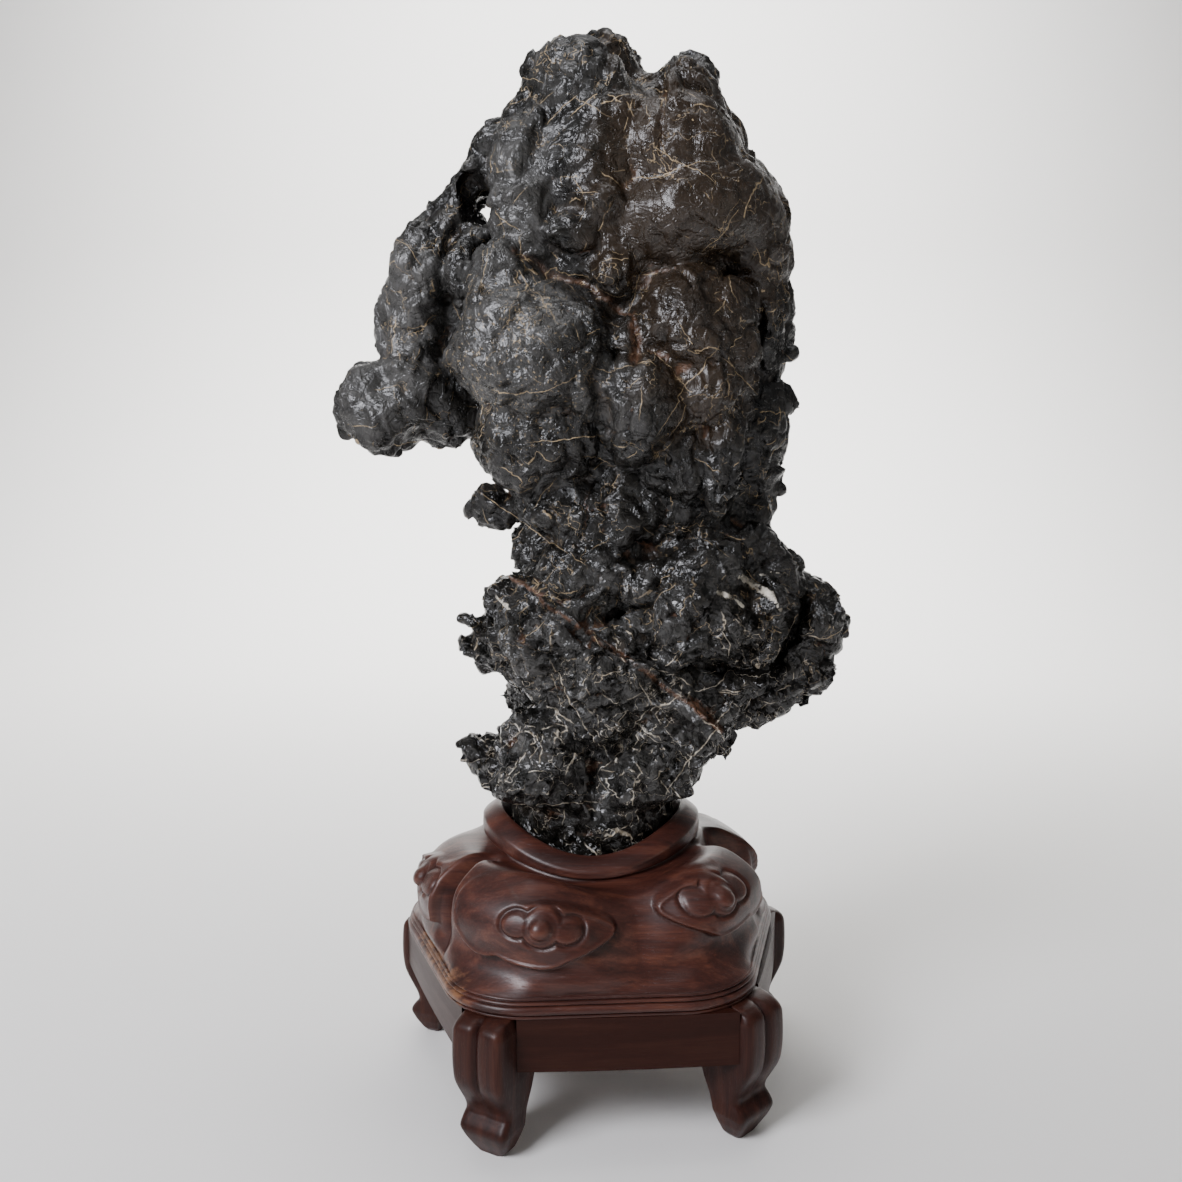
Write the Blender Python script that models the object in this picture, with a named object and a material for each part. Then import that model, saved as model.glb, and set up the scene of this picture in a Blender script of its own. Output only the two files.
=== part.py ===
"""A black scholar's rock standing in a five-legged carved hardwood stand.

The rock is one natural stone.  The stand is a carved top with a collar and a
socket, five apron boards and five legs.  Sizes are in millimetres and become
metres when a mesh is made.  +Z is up and -Y is the front.
"""

import math
import random

import bmesh
import bpy
import numpy as np
from mathutils import Matrix, Vector, noise

MM = 0.001
GAP = 0.3                       # clearance between pieces that touch
STAND_AXIS = (0.0, -8.0)        # where the stand's axis is, with the whole part's box centred

# ---- the stand -----------------------------------------------------------
SIDES = 5
STAND_TURN = 3.8                # the front side faces 3.8 degrees to the right
MOULDING_FLAT = 146.0           # axis to the middle of a side
MOULDING_CORNER = 66.0          # corner radius of the five-sided outline
MOULDING_TOP = 125.0
MOULDING_BOTTOM = 110.0
MOULDING_SHIFT = -4.0           # its outline sits a little left of the legs' axis
UNDERSIDE_STEP = 14.0           # how far the underside is cut back from the moulding

COLLAR_CENTRE = (-6.0, -2.0)    # the socket sits a little left of the axis
COLLAR_SIZE = (91.0, 80.0)      # outer edge of the collar, half width and half depth
SOCKET_SIZE = (74.0, 62.0)      # inner wall, half width and half depth
SOCKET_FLOOR = 186.0
RIM_MEAN = 217.5
RIM_WAVE = 12.5                 # the rim is high at left and right, low in front

APRON_FLAT = 143.5
APRON_BOTTOM = 68.5
APRON_THICK = 16.0
APRON_BULGE = 2.0

LEG_DIRECTIONS = (-120.5, -45.0, 25.0, 94.0, 160.0)  # front left first, each near its corner
LEG_HALF_WIDTH = 22.5
LEG_GROOVE = 2.2
LEG_TOP = MOULDING_BOTTOM - GAP

# ---- the rock ------------------------------------------------------------
ROCK_BOTTOM = SOCKET_FLOOR + GAP
ROCK_TRIANGLES = 5200
TOP_TRIANGLES = 2800
NOISE_SEED = 5                  # fixes the slow bends and the tilt of each facet
VOXEL = 3.5


def corner_angle(k):
    """Direction of corner k from the axis, in radians; corner 0 is the front left."""
    return math.radians(STAND_TURN - 90 - 36 + 72 * k)


# ---- small tools ---------------------------------------------------------

def surface_finish(name, colour, roughness):
    material = bpy.data.materials.new(name)
    material.use_nodes = True
    shader = material.node_tree.nodes["Principled BSDF"]
    shader.inputs["Base Color"].default_value = (*colour, 1.0)
    shader.inputs["Roughness"].default_value = roughness
    shader.inputs["Metallic"].default_value = 0.0
    return material


def mesh_from(name, points, faces):
    """A mesh from points in millimetres."""
    mesh = bpy.data.meshes.new(name)
    mesh.from_pydata([tuple(float(v) * MM for v in p) for p in points], [], faces)
    return mesh


def new_object(name, mesh, material):
    obj = bpy.data.objects.new(name, mesh)
    bpy.context.scene.collection.objects.link(obj)
    obj.location = (STAND_AXIS[0] * MM, STAND_AXIS[1] * MM, 0)
    mesh.materials.append(material)
    return obj


def decimate(obj, triangles):
    """Keeps the shape in about that many triangles, more where it bends."""
    faces = sum(len(p.vertices) - 2 for p in obj.data.polygons)
    modifier = obj.modifiers.new("fewer_faces", "DECIMATE")
    modifier.ratio = min(1.0, triangles / faces)


def smooth_step(low, high, value):
    t = np.clip((value - low) / (high - low), 0.0, 1.0)
    return t * t * (3 - 2 * t)


def curve_through(points, steps):
    """A smooth line through the points; a doubled point makes a sharp corner."""
    points = np.asarray(points, float)
    ends = np.vstack([2 * points[0] - points[1], points, 2 * points[-1] - points[-2]])
    out = []
    for i in range(1, len(ends) - 2):
        a, b, c, d = ends[i - 1:i + 3]
        if np.allclose(b, c):
            continue
        if np.allclose(a, b):
            a = 2 * b - c
        if np.allclose(c, d):
            d = 2 * c - b
        for t in np.arange(steps) / steps:
            out.append(0.5 * (2 * b + (c - a) * t + (2 * a - 5 * b + 4 * c - d) * t ** 2
                              + (3 * b - a - 3 * c + d) * t ** 3))
    out.append(points[-1])
    return np.array(out)


def stacked_rings(name, rings):
    """Joins a stack of rings, first to last, with a fan over each end."""
    rings = np.asarray(rings)
    count, around = rings.shape[:2]
    points = list(rings.reshape(-1, 3))
    points += [rings[0].mean(axis=0), rings[-1].mean(axis=0)]
    faces = []
    for j in range(around):
        k = (j + 1) % around
        for i in range(count - 1):
            faces.append((i * around + j, (i + 1) * around + j, (i + 1) * around + k, i * around + k))
        faces.append((len(points) - 2, j, k))
        faces.append((len(points) - 1, (count - 1) * around + k, (count - 1) * around + j))
    return mesh_from(name, points, faces)


# ---- the stand's carved top ----------------------------------------------

def side_radius(angle, flat, corner):
    """Axis to a regular five-sided outline with round corners."""
    half = math.pi / SIDES
    off = abs((angle - corner_angle(0) + half) % (2 * half) - half)
    corner_out = (flat - corner) / math.cos(half)
    if math.tan(half - off) * flat >= corner_out * math.sin(half):
        return corner_out * math.cos(off) + math.sqrt(corner ** 2 - (corner_out * math.sin(off)) ** 2)
    return flat / math.cos(half - off)


def oval_radius(angle, half_sizes):
    return 1.0 / math.hypot(math.cos(angle) / half_sizes[0], math.sin(angle) / half_sizes[1])


def mixed(corner_value, side_value, share):
    return corner_value * share + side_value * (1 - share)


# The carved waves: direction of the cloud, side its leaf points to, length and fullness.
WAVES = (
    (-108.5, 1, 1.0, 1.0), (-46.0, -1, 0.8, 1.0), (32.0, 1, 0.85, 0.88), (104.0, 1, 0.95, 0.8),
    (180.0, -1, 0.95, 0.90),
)


def from_cloud(angle, centre, side, length):
    """Degrees from a cloud's middle towards its leaf's tip, for a cloud of full length."""
    return side * ((math.degrees(angle) - centre + 180) % 360 - 180) / length


def wave(angle):
    """1 where a wave stands full, falling steeply at its fold and slowly to its tip."""
    best = 0.0
    for centre, side, length, fullness in WAVES:
        off = from_cloud(angle, centre, side, length)
        best = max(best, fullness * float(smooth_step(-39, -30, off) * (1 - smooth_step(-6, 36, off))))
    return best


def top_profile(angle):
    """Radius, height and collar share, from the socket floor over the collar to the underside."""
    socket = oval_radius(angle, SOCKET_SIZE)
    collar = oval_radius(angle, COLLAR_SIZE)
    ears = 0.5 + 0.5 * math.cos(2 * angle)
    rim = RIM_MEAN + RIM_WAVE * math.cos(2 * angle)
    edge = side_radius(angle, MOULDING_FLAT, MOULDING_CORNER)
    share = wave(angle)
    inside = [
        (socket - 6, SOCKET_FLOOR), (socket - 6, SOCKET_FLOOR), (socket - 1, SOCKET_FLOOR + 5),
        (socket + 1, rim - 4), (socket + 4, rim), (mixed(socket, collar, 0.45), rim - 2.5),
        (collar - 1, rim - 8), (collar, rim - 12), (collar, rim - mixed(21, 14, ears)),
        (collar - 3, rim - mixed(24, 15, ears)),
    ]
    slope = [
        (collar + 3, rim - mixed(26, 18, ears)),
        (mixed(112, 103, share), mixed(204, 182, share)),
        (mixed(128, 114, share), mixed(197, 168, share)),
        (mixed(139, 122, share), mixed(185, 155, share)),
        (mixed(142, 129, share), mixed(169, 144, share)),
        (mixed(140, 136, share), mixed(152, 135, share)),
        (mixed(145, edge - 9, share), mixed(137, 129, share)),
    ]
    moulding = [
        (edge - 5, MOULDING_TOP), (edge - 2.5, MOULDING_TOP - 2), (edge - 3, MOULDING_TOP - 5),
        (edge - 1, MOULDING_TOP - 8), (edge, MOULDING_BOTTOM + 5), (edge - 1.5, MOULDING_BOTTOM),
        (edge - 1.5, MOULDING_BOTTOM), (edge - UNDERSIDE_STEP, MOULDING_BOTTOM),
    ]
    line = curve_through(inside + slope + moulding, 5)
    fade_from, fade_to = (len(inside) + 3) * 5, (len(inside) + len(slope)) * 5
    on_collar = 1 - smooth_step(fade_from, fade_to, np.arange(len(line)))
    return np.column_stack([line, on_collar])


# The cloud scroll on each wave, laid out from its boss along the surface and up it: the direction
# and height of the boss, the length of its leaf, and how far the leaf's blunt end reaches.
CLOUDS = (
    (-104.8, 175.7, 1.0, -90.0), (-44.8, 185.5, 0.86, -90.0), (35.0, 178.0, 0.9, -90.0),
    (107.5, 177.0, 0.95, -90.0), (195.5, 178.5, 0.95, -35.0),
)
CLOUD_REACH = 138.0             # axis to the carved surface
LEAF = [(57, -6), (57, -6), (54, -11), (42, -16), (23, -22.5), (8, -29.5), (-7, -30.5), (-25, -28.5),
        (-45, -28.5), (-56, -27), (-68, -19), (-74, -2), (-76, 14), (-66, 24), (-40, 24), (-18, 15.5),
        (0, 15.8), (14, 12.6), (35, 6.4), (52, -1), (57, -6)]
LEAF_RAISE = 6.0
CLOUD_LOBES = ((0.0, 0.0, 14.8), (-18.5, 1.0, 10.5), (19.0, -3.0, 10.0))
LOBE_RAISE = 1.6
BOSS_RADIUS = 7.0
BOSS_RAISE = 4.0


def depth_inside(along, up, outline):
    """Distance to a closed line, positive inside it."""
    along, up = np.broadcast_arrays(along, up)
    nearest = np.full(along.shape, 1e9)
    inside = np.zeros(along.shape, bool)
    for (x0, y0), (x1, y1) in zip(outline, np.roll(outline, -1, axis=0)):
        length = (x1 - x0) ** 2 + (y1 - y0) ** 2 + 1e-12
        share = np.clip(((along - x0) * (x1 - x0) + (up - y0) * (y1 - y0)) / length, 0, 1)
        away = np.hypot(along - x0 - share * (x1 - x0), up - y0 - share * (y1 - y0))
        nearest = np.minimum(nearest, away)
        crosses = (y0 > up) != (y1 > up)
        inside ^= crosses & (along < (x1 - x0) * (up - y0) / (y1 - y0 + 1e-12) + x0)
    return np.where(inside, nearest, -nearest)


def cloud_relief(along, up, length, blunt):
    """Height of the carving: a round boss on three lobes on a leaf that merges into its wave."""
    leaf = depth_inside(along / length, up, curve_through(LEAF, 4)[:-1])
    leaf = np.minimum(leaf, along - blunt)
    merging = smooth_step(-8, 22, up) * (1 - smooth_step(-22, 6, along))
    height = LEAF_RAISE * smooth_step(-1.5, 1.5, leaf) * (1 - 0.85 * merging)
    lobes = np.zeros_like(height)
    for centre, rise, radius in CLOUD_LOBES:
        away = np.hypot(along - centre, up - rise)
        lobes = np.maximum(lobes, smooth_step(radius + 1, radius - 1.5, away))
    boss = 1 - (np.hypot(along, up) / BOSS_RADIUS) ** 2
    return height + LOBE_RAISE * lobes + BOSS_RAISE * np.sqrt(np.clip(boss, 0, 1))


def from_boss(angle, direction, side):
    """Millimetres round the stand from a boss towards its leaf's tip."""
    return side * math.radians((math.degrees(angle) - direction + 180) % 360 - 180) * CLOUD_REACH


def build_stand_top(material, around=240):
    angles = np.arange(around) * 2 * math.pi / around
    profiles = np.array([top_profile(a) for a in angles])
    radius, height, on_collar = profiles[..., 0], profiles[..., 1], profiles[..., 2]
    carved = (radius > COLLAR_SIZE[0] + 6) & (height > MOULDING_TOP + 6)
    for (direction, rise, length, blunt), (_, side, _, _) in zip(CLOUDS, WAVES):
        along = np.array([from_boss(a, direction, side) for a in angles])[:, None]
        radius = radius + cloud_relief(along, height - rise, length, blunt) * carved
    x = mixed(COLLAR_CENTRE[0], MOULDING_SHIFT, on_collar) + radius * np.cos(angles)[:, None]
    y = COLLAR_CENTRE[1] * on_collar + radius * np.sin(angles)[:, None]
    rings = np.stack([x, y, height], axis=-1).transpose(1, 0, 2)
    top = new_object("stand_top", stacked_rings("stand_top", rings), material)
    decimate(top, TOP_TRIANGLES)
    top.data.shade_smooth()
    return top


# ---- aprons and legs -----------------------------------------------------

def build_apron(k, material, steps=6):
    """The bowed board between leg k and the next, its ends cut along the legs."""
    middle = corner_angle(k) + math.pi / SIDES

    def end(flat, leg):
        turn = math.radians(LEG_DIRECTIONS[leg % SIDES]) - middle
        turn = (turn + math.pi) % (2 * math.pi) - math.pi
        half_leg = math.copysign(LEG_HALF_WIDTH + GAP, turn)
        return (flat * math.sin(turn) - half_leg) / math.cos(turn)

    def run(flat):
        low, high = end(flat, k), end(flat, k + 1)
        shares = [i / steps for i in range(steps + 1)]
        return [(flat + APRON_BULGE * 4 * t * (1 - t), low + (high - low) * t) for t in shares]

    outline = run(APRON_FLAT) + run(APRON_FLAT - APRON_THICK)[::-1]
    count = len(outline)
    points = [(x, y, APRON_BOTTOM) for x, y in outline] + [(x, y, LEG_TOP) for x, y in outline]
    faces = []
    for i in range(count):
        j = (i + 1) % count
        faces.append((i, j, count + j, count + i))
    for i in range(steps):
        j = count - 1 - i
        faces.append((i, j, j - 1, i + 1))
        faces.append((count + i, count + i + 1, count + j - 1, count + j))
    board = new_object(f"apron_{k + 1}", mesh_from(f"apron_{k + 1}", points, faces), material)
    board.rotation_euler.z = middle
    return board


# Side view of a leg: distance from the axis and height.
LEG_OUTSIDE = [
    (162, LEG_TOP), (170, 108.5), (177, 105), (180, 98), (181, 80), (180, 66), (177.5, 57), (171.5, 46),
    (167, 38), (166, 32), (170, 27), (173, 21), (170, 13), (165, 4), (163, 0),
]
LEG_INSIDE = [
    (149, 0), (148, 5), (145.5, 14), (142, 25), (138, 36), (134, 46), (131, 58), (130, 70), (130, LEG_TOP),
]
LEG_HEIGHTS = (0, 4, 12, 21, 27, 33, 40, 50, 60, 72, 96, 105, LEG_TOP)
LEG_NARROWING = [(0, 0.5), (4, 0.68), (12, 0.84), (21, 0.96), (31, 0.92), (60, 1), (100, 1), (LEG_TOP, 0.86)]


def leg_slice(z):
    """One level outline of a leg: two soft lobes with a groove between them."""
    outside, inside = np.array(LEG_OUTSIDE)[::-1], np.array(LEG_INSIDE)
    far = float(np.interp(z, outside[:, 1], outside[:, 0]))
    near = float(np.interp(z, inside[:, 1], inside[:, 0]))
    half = LEG_HALF_WIDTH * float(np.interp(z, *zip(*LEG_NARROWING)))
    groove = LEG_GROOVE * float(np.interp(z, [0, 24, 57, LEG_TOP], [0, 0.4, 1, 1]))
    soft = min(3.0, (far - near) / 3)
    side = [(far, 0.4 * half), (far - 0.3 * soft, 0.82 * half), (far - soft, half)]
    side += [(near + 2, half), (near, half - 3)]
    left = [(x, y, z) for x, y in side]
    right = [(x, -y, z) for x, y in side[::-1]]
    return [(far - groove, 0.0, z)] + left + right


def build_leg(k, material):
    rings = [leg_slice(z) for z in reversed(LEG_HEIGHTS)]
    leg = new_object(f"leg_{k + 1}", stacked_rings(f"leg_{k + 1}", rings), material)
    leg.rotation_euler.z = math.radians(LEG_DIRECTIONS[k])
    leg.data.shade_smooth()
    return leg


# ---- the rock ------------------------------------------------------------
# Each lump: centre x, y, z, half sizes along x, y, z, and how many degrees its
# top leans to the right.
LUMPS = {
    # the crown and its two peaks
    "crown_left_knob": (-46, -10, 806, 16, 24, 28, 0),
    "crown_facet": (-20, -24, 800, 36, 38, 37, 10),
    "crown_top": (6, 6, 821, 29, 36, 32, 0),
    "crown_mid": (11, -40, 792, 14, 20, 25, 5),
    "crown_saddle": (35, 2, 788, 30, 40, 34, 0),
    "horn": (67, 0, 799, 28, 34, 36, 5),
    "horn_front": (54, -50, 778, 9, 20, 27, 0),
    "horn_slab": (76, -14, 792, 20, 38, 41, -38),
    "horn_slope": (89, 4, 762, 27, 42, 50, -22),
    "peak_plate": (72, -28, 742, 38, 42, 54, -14),
    "dome_top": (57, -24, 748, 55, 56, 50, -14),
    # the upper body
    "core": (25, 2, 690, 100, 70, 114, 0),
    "dome": (65, -10, 704, 80, 76, 60, 0),
    "dome_side": (117, 5, 691, 39, 52, 66, -5),
    "brow": (-8, -42, 735, 46, 34, 42, 0),
    "brow_top": (8, -32, 766, 50, 35, 34, 0),
    "flank": (-50, -30, 702, 38, 36, 52, 6),
    "temple": (-60, -12, 740, 27, 46, 68, 12),
    "front_knot_1": (2, -66, 706, 20, 15, 16, 0),
    "front_knot_2": (-20, -64, 684, 20, 14, 17, 0),
    "front_knot_3": (10, -60, 657, 16, 13, 20, 0),
    # the cheeks, nose and the folds that hang at the right
    "cheek_left": (-48, -52, 602, 62, 60, 58, 0),
    "cheek_left_side": (-84, -40, 594, 34, 40, 36, 0),
    "cheek_left_top": (-78, -46, 644, 28, 38, 40, 10),
    "cheek_left_low": (-46, -32, 538, 52, 52, 54, 0),
    "cheek_right": (74, -48, 616, 50, 48, 48, 0),
    "nose": (32, -70, 556, 36, 42, 42, 0),
    "nose_side": (-6, -70, 572, 17, 32, 34, 8),
    "nose_root": (26, -52, 604, 26, 34, 26, 0),
    "fold_right": (104, -42, 592, 22, 36, 66, 0),
    "fold_tongue": (95, -68, 524, 14, 18, 58, 4),
    "fold_cover": (80, -60, 570, 28, 34, 36, 0),
    "fold_inner": (64, -52, 522, 32, 30, 38, 0),
    "rear_right_upper": (124, 14, 624, 36, 50, 66, 0),
    "rear_right_lower": (121, 8, 529, 34, 44, 66, 0),
    "middle": (22, 0, 545, 100, 64, 64, 0),
    # the arm on the left
    "arm_root": (-81, 12, 762, 24, 30, 25, 38),
    "arm_upper": (-100, 12, 734, 19, 30, 35, 34),
    "arm_bend": (-124, 10, 701, 20, 30, 34, 34),
    "arm_shoulder": (-143, 4, 669, 24, 30, 29, 20),
    "arm_mid": (-151, 4, 628, 30, 33, 50, 8),
    "arm_slab": (-146, -6, 652, 25, 28, 56, 8),
    "arm_web": (-108, 34, 690, 34, 15, 70, 15),
    "arm_inner": (-112, 18, 632, 26, 26, 58, 0),
    "arm_end": (-171, -6, 560, 45, 38, 40, 5),
    "arm_end_top": (-150, -8, 580, 30, 30, 24, 20),
    "arm_under": (-129, 8, 563, 40, 32, 41, 0),
    "arm_nub": (-119, 0, 540, 12, 16, 15, 0),
    "gap_lump_1": (-98, -2, 690, 14, 22, 15, 0),
    "gap_lump_2": (-107, -12, 664, 15, 24, 27, 0),
    # the waist
    "waist": (32, 0, 486, 106, 56, 60, 0),
    "waist_right": (112, 4, 482, 34, 40, 36, 0),
    "waist_left": (-34, -4, 497, 42, 46, 45, 0),
    "waist_low": (18, -4, 446, 88, 50, 42, 0),
    "waist_left_knob": (-84, -8, 476, 23, 18, 17, 10),
    "waist_front": (10, -36, 470, 62, 26, 38, 0),
    "waist_fill": (-16, -38, 421, 52, 34, 35, 0),
    # the hips on the right
    "hip_top": (104, -4, 431, 70, 56, 43, 20),
    "hip_front": (76, -40, 402, 60, 56, 52, 0),
    "hip_knot": (86, -60, 436, 28, 28, 26, 0),
    "hip_side": (127, -38, 388, 25, 42, 40, 20),
    "hip_far": (163, -4, 381, 44, 44, 47, 10),
    "hip_far_top": (184, -4, 390, 20, 30, 20, 0),
    "hip_far_low": (173, -8, 350, 22, 34, 28, 0),
    "hip_low": (122, -14, 336, 58, 44, 36, -22),
    "hip_back": (60, 30, 400, 90, 44, 60, 0),
    # the belly under the slanting ledge
    "belly_left": (-38, -38, 376, 46, 50, 48, 20),
    "belly_tip": (-72, -20, 405, 21, 28, 17, 15),
    "belly_side": (-80, -12, 368, 24, 26, 26, 0),
    "left_lobe": (-97, -13, 367, 20, 16, 11, -4),
    "belly_mid": (2, -44, 342, 64, 50, 54, 25),
    "belly_right": (66, -38, 316, 46, 46, 42, 20),
    "belly_corner": (84, -20, 290, 20, 34, 20, 20),
    "belly_back": (12, 25, 330, 86, 46, 72, 0),
    # the foot that stands in the socket
    "foot_left": (-43, -30, 260, 45, 46, 62, -8),
    "foot_spur": (-84, -14, 276, 26, 22, 13, 6),
    "foot_fin": (-82, -15, 252, 16, 26, 46, -37),
    "foot_right": (32, -22, 262, 51, 48, 64, 10),
    "foot_back": (4, 16, 250, 70, 42, 68, 0),
    "foot_base": (-5, -4, 210, 70, 58, 48, 0),
    # the back
    "back_crown": (22, 34, 780, 54, 34, 48, 0),
    "back_shoulder": (-20, 44, 700, 62, 40, 60, 0),
    "back_dome": (76, 46, 664, 56, 42, 66, 0),
    "back_cheek": (-52, 30, 590, 54, 48, 56, 0),
    "back_fold": (30, 50, 590, 48, 38, 62, 0),
    "back_waist": (44, 36, 480, 66, 38, 46, 0),
    "back_hip": (122, 34, 372, 52, 38, 40, 0),
    "back_belly": (-30, 30, 320, 52, 42, 48, 0),
}

# Each spur: where it starts, where its tip is, and its thickness at the root.
SPURS = {
    "crown_chip": ((72, -2, 822), (70, -2, 836), 7),
    "slope_chip": ((112, 0, 750), (124, 0, 758), 7),
    "side_chip": ((138, 0, 602), (158, 0, 601), 10),
    "flap": ((136, -5, 576), (160, -6, 556), 14),
    "waist_tip": ((134, 0, 500), (155, 0, 492), 9),
    "knob_tip": ((-88, -8, 478), (-107, -8, 474), 10),
    "knob_point": ((-88, -8, 482), (-96, -8, 494), 7),
    "left_spike_1": ((-82, -12, 381), (-114, -14, 388), 7),
    "left_spike_3": ((-60, -10, 354), (-98, -12, 347), 12),
    "low_spike_1": ((-50, -14, 302), (-82, -18, 293), 8),
    "foot_spike_1": ((-96, -14, 278), (-115, -16, 283), 8),
    "foot_spike_2": ((-92, -14, 268), (-114, -16, 271), 8),
    "hip_nub": ((88, -26, 292), (107, -28, 275), 10),
    "hip_edge": ((150, -14, 326), (172, -14, 316), 9),
}

# Hollows cut out of the stone: centre x, y, z, half sizes, lean.
HOLLOWS = {
    "eye": (-90, 20, 718, 8.5, 60, 13, -40),
    "eye_pit": (-96, -12, 722, 13, 24, 24, -30),
    "pocket": (17, -92, 384, 15, 22, 15, 0),
    "fold_pit": (122, -42, 600, 10, 22, 46, 0),
    "cleft": (157, -46, 384, 7, 26, 36, 30),
    "back_cave": (30, 96, 660, 26, 30, 34, 10),
    "back_slot": (-2, 78, 540, 12, 30, 44, -15),
    "back_pit": (34, 84, 430, 30, 26, 20, 0),
    "back_low_pit": (30, 72, 300, 22, 24, 30, 15),
}


def faceted_ball(bm, name, shape, chips):
    """Adds a stone-like ball with some flat chips taken off it."""
    centre, half_sizes, lean = shape[:3], shape[3:6], shape[6]
    dice = random.Random(name)
    sphere = bmesh.ops.create_icosphere(bm, subdivisions=4, radius=1.0)["verts"]
    points = np.array([v.co for v in sphere])
    reach = np.ones(len(points))
    for _ in range(chips):
        normal = np.array([dice.gauss(0, 1) for _ in range(3)])
        normal /= np.linalg.norm(normal)
        facing = points @ normal
        cut = dice.uniform(0.80, 0.95) / np.maximum(facing, 1e-6)
        reach = np.where(facing > 0.2, np.minimum(reach, cut), reach)
    points = points * reach[:, None] * np.array(half_sizes)
    turn = np.array(Matrix.Rotation(math.radians(lean), 3, "Y"))
    points = points @ turn.T + np.array(centre)
    for vert, point in zip(sphere, points):
        vert.co = point * MM


def spur_cone(bm, start, tip, thickness):
    """Adds a blunt cone from the stone's body to the tip of a spur."""
    start, tip = Vector(start), Vector(tip)
    way = tip - start
    turn = way.to_track_quat("Z", "Y").to_matrix().to_4x4()
    place = Matrix.Translation((start + tip) / 2 * MM) @ turn
    bmesh.ops.create_cone(bm, cap_ends=True, segments=12, radius1=thickness * MM,
                          radius2=thickness * 0.45 * MM, depth=way.length * MM, matrix=place)


def tilted_facets(place, size, tilt):
    """Breaks the surface into cells, each a flat facet with its own tilt."""
    distances, seeds = noise.voronoi(place / size)
    seed = Vector(seeds[0])
    direction = noise.noise_vector(seed * 5.3)
    crease = min(1.0, (distances[1] - distances[0]) * 5)
    return (place / size - seed).dot(direction) * size * tilt + (crease - 1) * size * 0.05


# The big dome at the upper right is the smoothest part of the stone.
CALM_CENTRE = Vector((56.0, -30.0, 726.0))
CALM_SIZE = (112.0, 105.0, 100.0)


def calmness(place):
    """1 in the middle of the smooth dome, falling to 0 outside it."""
    off = place - CALM_CENTRE
    away = math.hypot(*(value / size for value, size in zip(off, CALM_SIZE)))
    return 1.0 - float(smooth_step(0.55, 1.2, away))


def stone_field(x, y, z):
    """How far the surface stands out at a point, in millimetres."""
    place = Vector((x, y, z))
    craggy = 1.0 - float(smooth_step(430, 560, z))
    swell = noise.noise(place / 36) * 4.0
    warped = place + noise.noise_vector(place / 25) * 9
    facets = tilted_facets(warped, 34.0, 0.30 + 0.15 * craggy)
    facets += tilted_facets(warped, 15.0, 0.25 + 0.25 * craggy)
    ridges = 1 - abs(noise.noise(warped / 14)) * 4
    return swell + (facets + ridges * (0.6 + 0.8 * craggy)) * (1.0 - 0.6 * calmness(place))


def press_into_socket(points):
    """Keeps the foot clear of the collar, and flat where it stands."""
    rim = RIM_MEAN + RIM_WAVE + 4
    x = points[:, 0] - COLLAR_CENTRE[0]
    y = points[:, 1] - COLLAR_CENTRE[1]
    reach = np.hypot(x / (SOCKET_SIZE[0] - 4), y / (SOCKET_SIZE[1] - 4))
    low = 1 - smooth_step(rim, rim + 16, points[:, 2])
    shrink = 1 - low * (1 - 1 / np.maximum(reach, 1.0))
    tuck = 1 - 0.12 * (1 - smooth_step(ROCK_BOTTOM, ROCK_BOTTOM + 14, points[:, 2]))
    points[:, 0] = COLLAR_CENTRE[0] + x * shrink * tuck
    points[:, 1] = COLLAR_CENTRE[1] + y * shrink * tuck
    return points


def applied(obj):
    """The object's mesh with its modifiers applied."""
    graph = bpy.context.evaluated_depsgraph_get()
    mesh = bpy.data.meshes.new_from_object(obj.evaluated_get(graph))
    old = obj.data
    obj.modifiers.clear()
    obj.data = mesh
    bpy.data.meshes.remove(old)
    return mesh


def merged_balls(name, balls, chips, material, spurs=()):
    """One closed skin around many overlapping balls and cones."""
    bm = bmesh.new()
    for ball, shape in balls.items():
        faceted_ball(bm, ball, shape, chips)
    for start, tip, thickness in spurs:
        spur_cone(bm, start, tip, thickness)
    mesh = bpy.data.meshes.new(name)
    bm.to_mesh(mesh)
    bm.free()
    merged = new_object(name, mesh, material)
    even_skin(merged)
    applied(merged)
    return merged


def even_skin(obj):
    """Rebuilds the surface in small even faces, overlaps merged."""
    modifier = obj.modifiers.new("even_skin", "REMESH")
    modifier.mode = "VOXEL"
    modifier.voxel_size = VOXEL * MM


def keep_largest_piece(mesh):
    bm = bmesh.new()
    bm.from_mesh(mesh)
    unseen = set(bm.verts)
    pieces = []
    while unseen:
        stack = [unseen.pop()]
        piece = list(stack)
        while stack:
            near = [e.other_vert(v) for v in [stack.pop()] for e in v.link_edges]
            near = [v for v in set(near) if v in unseen]
            unseen.difference_update(near)
            stack += near
            piece += near
        pieces.append(piece)
    pieces.sort(key=len)
    spare = [v for piece in pieces[:-1] for v in piece]
    bmesh.ops.delete(bm, geom=spare, context="VERTS")
    bm.to_mesh(mesh)
    bm.free()


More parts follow.
